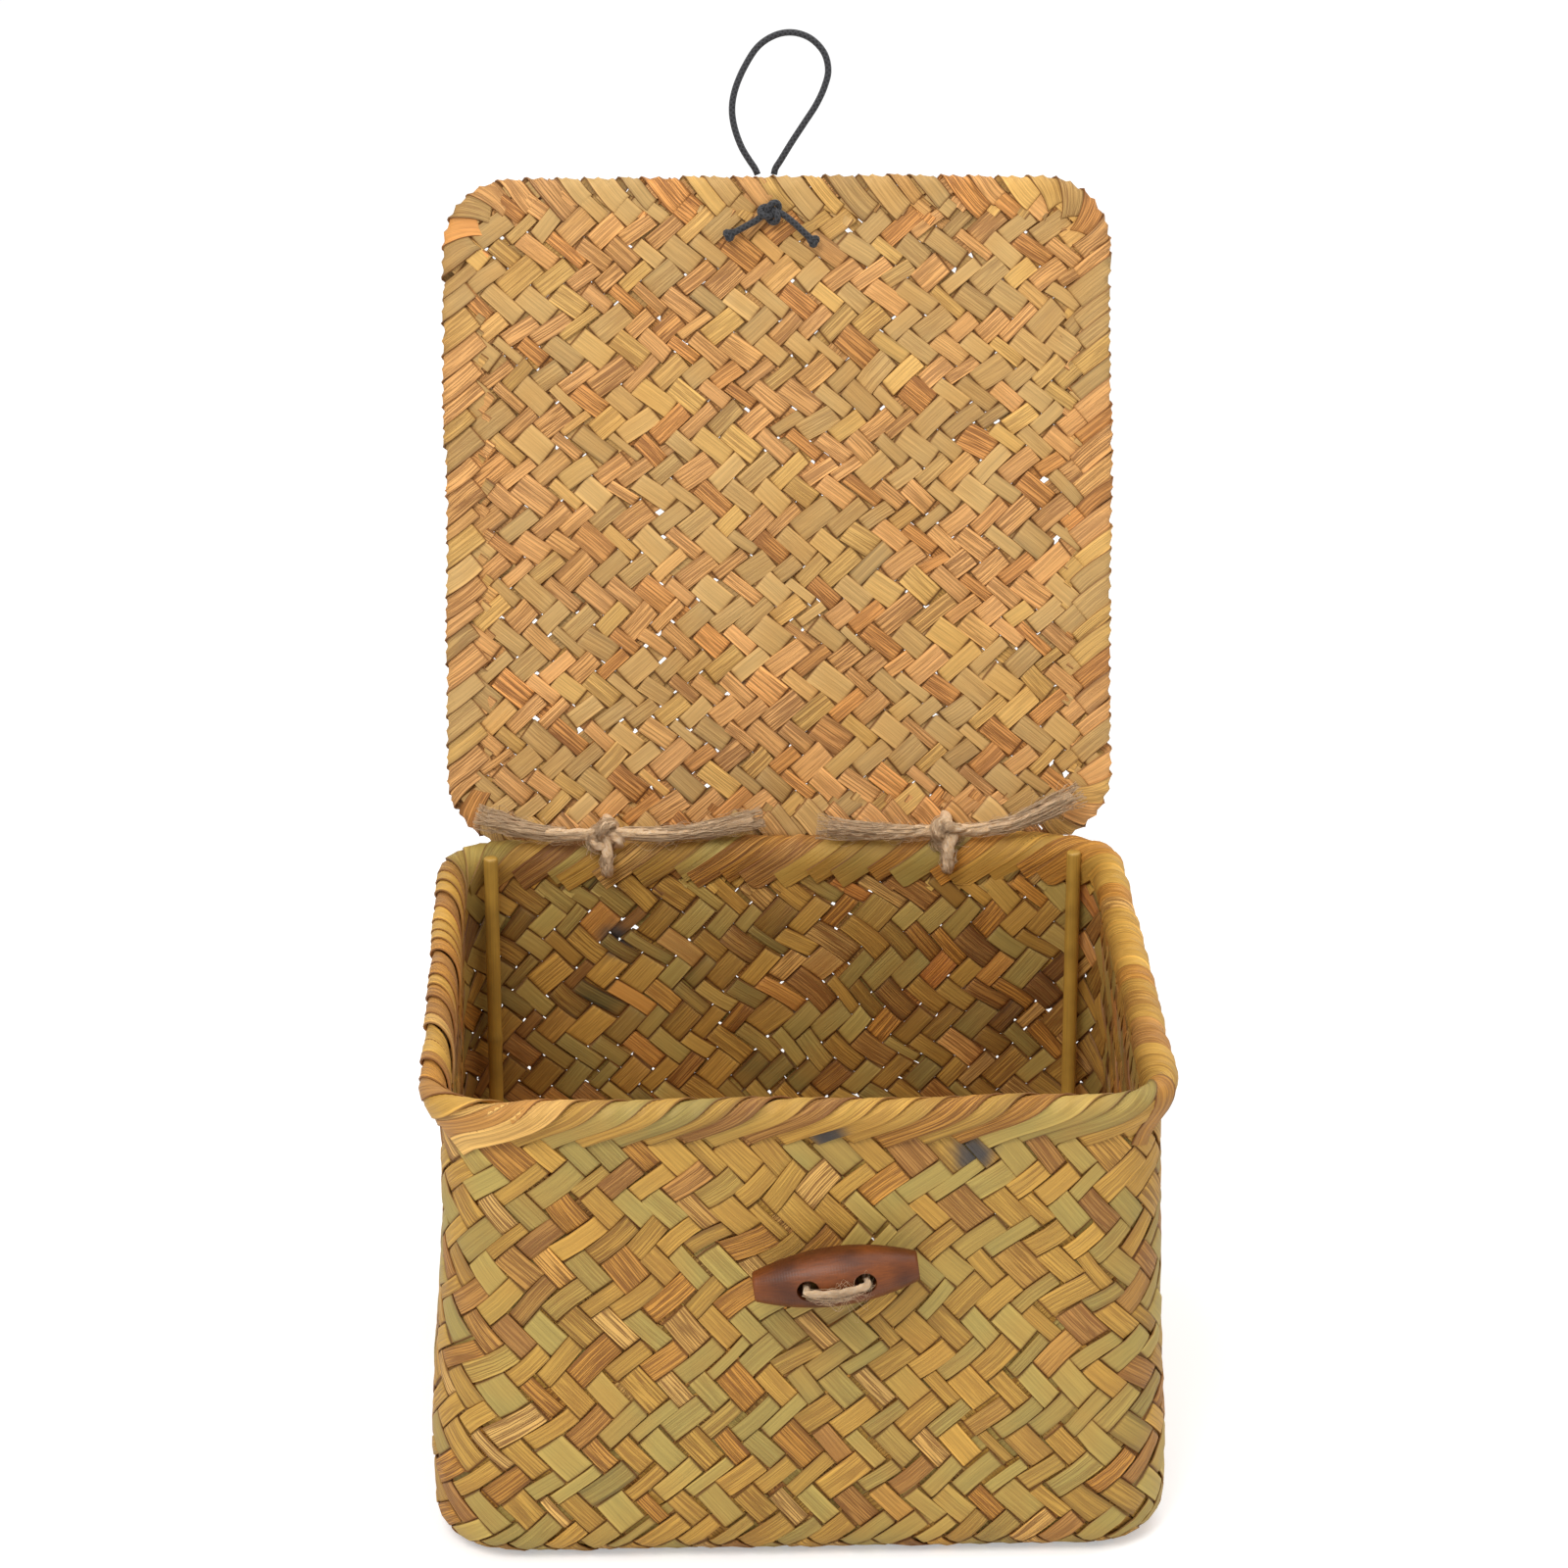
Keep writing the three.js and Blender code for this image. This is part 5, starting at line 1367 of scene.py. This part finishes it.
class LIDDEDBOX_OT_elastic_knot(PieceOperator, bpy.types.Operator):
    """Knots the elastic inside the lid, with two short ends"""

    bl_idname = "lidded_box.elastic_knot"
    bl_label = "Elastic knot"

    def execute(self, context):
        radius = sizes().elastic_diameter / MM / 2
        hole_y = LID_FRONT - ELASTIC_HOLE_INSET
        bundle = Bundle()

        def cord(points, closed=False, thin=1.0):
            path = smooth_path(lid_place(*np.transpose(points)), 0.5, closed)
            bundle.tube(path, radius * thin, 12, LID_NORMAL, closed)

        for edge_x, hole_x in ((LOOP_ROUTE[0][0], ELASTIC_X - 1.05), (LOOP_ROUTE[-1][0], ELASTIC_X + 1.05)):
            cord([(edge_x, LID_FRONT, ELASTIC_DEPTH),
                  ((edge_x + hole_x) / 2, LID_FRONT - ELASTIC_HOLE_INSET / 2, ELASTIC_DEPTH),
                  (hole_x, hole_y + 0.45, ELASTIC_DEPTH + 0.45), (hole_x, hole_y, LID_MIDDLE),
                  (ELASTIC_X + 0.4 * (hole_x - ELASTIC_X), hole_y, ELASTIC_KNOT_Z)])
        cord(knot_path((ELASTIC_X, hole_y, ELASTIC_KNOT_Z), ELASTIC_KNOT_SIZE, 0.4)[::3], True, 0.95)
        for route in (((-2.4, -9.4, 0), (-5.6, -11.6, 0.2), (-9.6, -13.8, 0), (-12.8, -15.4, -0.4)),
                      ((0.8, -9.6, 0), (4.2, -12, 0.3), (7.2, -14.8, 0.1), (9.8, -17.2, -0.4))):
            points = [(ELASTIC_X, hole_y, ELASTIC_TAIL_Z)]
            points += [(x, LID_FRONT + y, ELASTIC_TAIL_Z + z) for x, y, z in route]
            cord(points)
            # The end is turned back into a small tight knot
            cord(knot_path(points[-1], ELASTIC_BEAD_SIZE)[::4], True, 0.8)
        elastic = elastic_material("braided_elastic")
        bundle.piece("elastic_knot_cord", elastic, "lid", "elastic", ("elastic_knot",))
        return {"FINISHED"}


def toggle_place(x, y, z):
    """From the toggle's frame, x along the barrel and y to the wall, to the basket's"""
    turn = -TOGGLE_TILT
    return TOGGLE_CENTRE + np.stack([
        x * math.cos(turn) + z * math.sin(turn), y + 0 * x, z * math.cos(turn) - x * math.sin(turn),
    ], -1)


class LIDDEDBOX_OT_toggle(PieceOperator, bpy.types.Operator):
    """Turns the wooden toggle and bores its two holes"""

    bl_idname = "lidded_box.toggle"
    bl_label = "Wooden toggle"

    def execute(self, context):
        half, belly = sizes().toggle_length / MM / 2, sizes().toggle_diameter / MM / 2
        end, round_off = TOGGLE_END_RADIUS, 0.8
        share = np.linspace(-1, 1, 61)
        x = share * (half - round_off)
        radius = end + (belly - end) * (1 - share ** 2)
        turn = np.linspace(0, np.pi / 2, 6)[:-1]
        cap_x = half - round_off + round_off * np.cos(turn)
        cap_r = end - round_off + round_off * np.sin(turn)
        x = np.concatenate([-cap_x, x, cap_x[::-1]])
        radius = np.concatenate([cap_r, radius, cap_r[::-1]])
        path = np.stack([x, 0 * x, 0 * x], -1)
        rings, along, around = tube_rings(path, radius, 96, (0, 0, 1))
        rings = toggle_place(rings[..., 0], rings[..., 1], rings[..., 2])
        bundle = Bundle()
        bundle.add(rings, along=along, around=around)
        wood = toggle_material("stained_hardwood")
        barrel = bundle.piece("toggle_barrel", wood, "toggle", "toggle_wood", ("toggle",))
        # The drill, by its depth and radius: it widens where it leaves the barrel
        depth = np.array((-10, -6.9, -6.2, 6.2, 6.9, 10))
        wide = np.array((3.5, 3.0, 2.6, 2.6, 3.0, 3.5))
        for side in (-1, 1):
            drill = Bundle()
            line = np.stack([0 * depth + side * TOGGLE_HOLE_SPACING / 2, depth, 0 * depth], -1)
            rings, _, _ = tube_rings(line, wide, 40, (0, 0, 1))
            drill.add(toggle_place(rings[..., 0], rings[..., 1], rings[..., 2]))
            tool = placed("drill", drill.mesh("drill"))
            cut = barrel.modifiers.new("hole", "BOOLEAN")
            cut.object, cut.operation, cut.solver = tool, "DIFFERENCE", "EXACT"
            context.view_layer.update()
            bored = bpy.data.meshes.new_from_object(barrel.evaluated_get(context.evaluated_depsgraph_get()))
            barrel.modifiers.clear()
            barrel.data = bored
            bpy.data.objects.remove(tool)
        barrel.data.name = "toggle_barrel"
        barrel.data.set_sharp_from_angle(angle=math.radians(40))
        return {"FINISHED"}


class LIDDEDBOX_OT_toggle_twine(PieceOperator, bpy.types.Operator):
    """Threads the twine through the toggle and the wall, with its stray fibres"""

    bl_idname = "lidded_box.toggle_twine"
    bl_label = "Toggle twine"

    def execute(self, context):
        half, radius = TOGGLE_HOLE_SPACING / 2, 1.0
        front, wall = -8.8, 8.2
        back = wall + WALL_THICKNESS + CLEARANCE + radius
        points = [
            (0, front, -0.4), (-half + 2 * radius, front + 0.3, 0), (-half, front + 1.2 * radius, 0),
            (-half, 0, 0), (-half, wall, 0), (-half, back - radius, 0),
            (-half + 2 * radius, back + 0.3, 0), (0, back + 0.3, 0), (half - 2 * radius, back + 0.3, 0),
            (half, back - radius, 0), (half, wall, 0), (half, 0, 0),
            (half, front + 1.2 * radius, 0), (half - 2 * radius, front + 0.3, 0),
        ]
        path = smooth_path(toggle_place(*np.transpose(points)), 0.5, closed=True)
        bundle = Bundle()
        bundle.tube(path, radius, 16, (0, 0, 1), True, plies=2, twist=0.8, relief=0.14)
        knot = knot_path((0, 0, 0), TWINE_KNOT_SIZE)
        behind = wall + WALL_THICKNESS + CLEARANCE + TWINE_KNOT_SIZE + radius
        knot = toggle_place(knot[:, 0], behind + knot[:, 2], knot[:, 1])
        bundle.tube(knot, TWINE_KNOT_STRAND_RADIUS, 12, (0, 1, 0), True, plies=2, twist=0.9, relief=0.12)
        jute = jute_material("bleached_jute", 0.6)
        twine = bundle.piece("toggle_twine_loop", jute, None, "jute", ("toggle_twine",))
        loose = Bundle()
        rng = np.random.default_rng(91)
        seen = smooth_path(toggle_place(
            np.array((-8.5, -6.2, -3, 0, 3, 6.2, 8.5)),
            np.array((-7.2, -8.6, -9.0, -9.1, -9.0, -8.6, -7.2)),
            np.array((0.2, -0.2, -0.8, -1.0, -0.8, -0.2, 0.2)),
        ), 0.4)
        fibres(loose, rng, seen, count=60, reach=(0, 0.5), spread=((0, 0.5, 1), (1.1, 1.6, 1.1)),
               wave=0.5, radius=0.07, reference=(0, 0, 1), lengths=(0.3, 0.8))
        fibres(loose, rng, seen, count=16, reach=(0, 0.4), spread=((0, 0.5, 1), (1.2, 2.6, 1.5)),
               wave=2.6, radius=0.05, reference=(0, 0, 1), lengths=(0.4, 0.9))
        hair = loose.piece("toggle_twine_fibres", jute, None, "jute")
        for piece in (twine, hair):
            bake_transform(piece)
        return {"FINISHED"}


class LIDDEDBOX_OT_stage(PieceOperator, bpy.types.Operator):
    """Sets the white floor, the soft lamps and the world's light"""

    bl_idname = "lidded_box.stage"
    bl_label = "Floor and light"

    def execute(self, context):
        mesh = bpy.data.meshes.new("floor")
        signs = ((-1, -1), (1, -1), (1, 1), (-1, 1))
        corners = [(x * FLOOR_HALF, y * FLOOR_HALF, FLOOR_LEVEL) for x, y in signs]
        mesh.from_pydata(corners, [], [(0, 1, 2, 3)])
        material, tree, shader = new_material("white_paper")
        seen = add(tree, "LightPath").outputs
        glow = add(tree, "Math", {0: seen["Is Camera Ray"], 1: 0.38}, operation="MULTIPLY")
        put(shader, {"Base Color": grey(0.85), "Roughness": 0.9, "Emission Color": grey(1.0),
                     "Emission Strength": glow})
        mesh.materials.append(material)
        placed("floor", mesh)
        world = bpy.data.worlds.new("studio")
        context.scene.world = world
        world.use_nodes = True
        tree = world.node_tree
        tree.nodes.clear()
        seen = add(tree, "LightPath").outputs
        shine = add(tree, "Math", {0: seen["Is Camera Ray"], 1: seen["Is Glossy Ray"]}, operation="MAXIMUM")
        shine = add(tree, "Math", {0: shine, 1: seen["Is Transmission Ray"]}, operation="MAXIMUM")
        level = add(tree, "MapRange", {"Value": shine, 3: 0.62, 4: 1.0})
        air = add(tree, "Background", {"Color": grey(1.0), "Strength": level})
        add(tree, "OutputWorld", {"Surface": air})
        for name, (place, size, power) in LAMPS.items():
            light = bpy.data.lights.new(name, "AREA")
            light.shape, light.size, light.energy = "DISK", size, power
            placed(name, light, place, Vector(LAMP_TARGET) - Vector(place))
        return {"FINISHED"}


OPERATORS = (
    LIDDEDBOX_OT_camera, LIDDEDBOX_OT_tails, LIDDEDBOX_OT_loop, LIDDEDBOX_OT_wall,
    LIDDEDBOX_OT_base, LIDDEDBOX_OT_rim, LIDDEDBOX_OT_stakes, LIDDEDBOX_OT_lid,
    LIDDEDBOX_OT_ties, LIDDEDBOX_OT_elastic_knot, LIDDEDBOX_OT_toggle,
    LIDDEDBOX_OT_toggle_twine, LIDDEDBOX_OT_stage,
)


class LIDDEDBOX_PT_panel(bpy.types.Panel):
    """Lists the box's sizes, colours and pieces"""

    bl_idname = "LIDDEDBOX_PT_panel"
    bl_label = "Lidded box"
    bl_space_type = "VIEW_3D"
    bl_region_type = "UI"
    bl_category = "Lidded box"

    def draw(self, context):
        for group in (context.scene.lidded_box_sizes, context.scene.lidded_box_colours):
            column = self.layout.column(align=True)
            for name in type(group).__annotations__:
                column.prop(group, name)
        column = self.layout.column(align=True)
        for operator in OPERATORS:
            column.operator(operator.bl_idname)


CLASSES = (BoxSizes, BoxColours) + OPERATORS + (LIDDEDBOX_PT_panel,)


def register():
    for cls in CLASSES:
        bpy.utils.register_class(cls)
    bpy.types.Scene.lidded_box_sizes = bpy.props.PointerProperty(type=BoxSizes)
    bpy.types.Scene.lidded_box_colours = bpy.props.PointerProperty(type=BoxColours)


def unregister():
    del bpy.types.Scene.lidded_box_colours
    del bpy.types.Scene.lidded_box_sizes
    for cls in reversed(CLASSES):
        bpy.utils.unregister_class(cls)


def main():
    register()
    for operator in OPERATORS:
        group, name = operator.bl_idname.split(".")
        getattr(getattr(bpy.ops, group), name)()


if __name__ == "__main__":
    main()
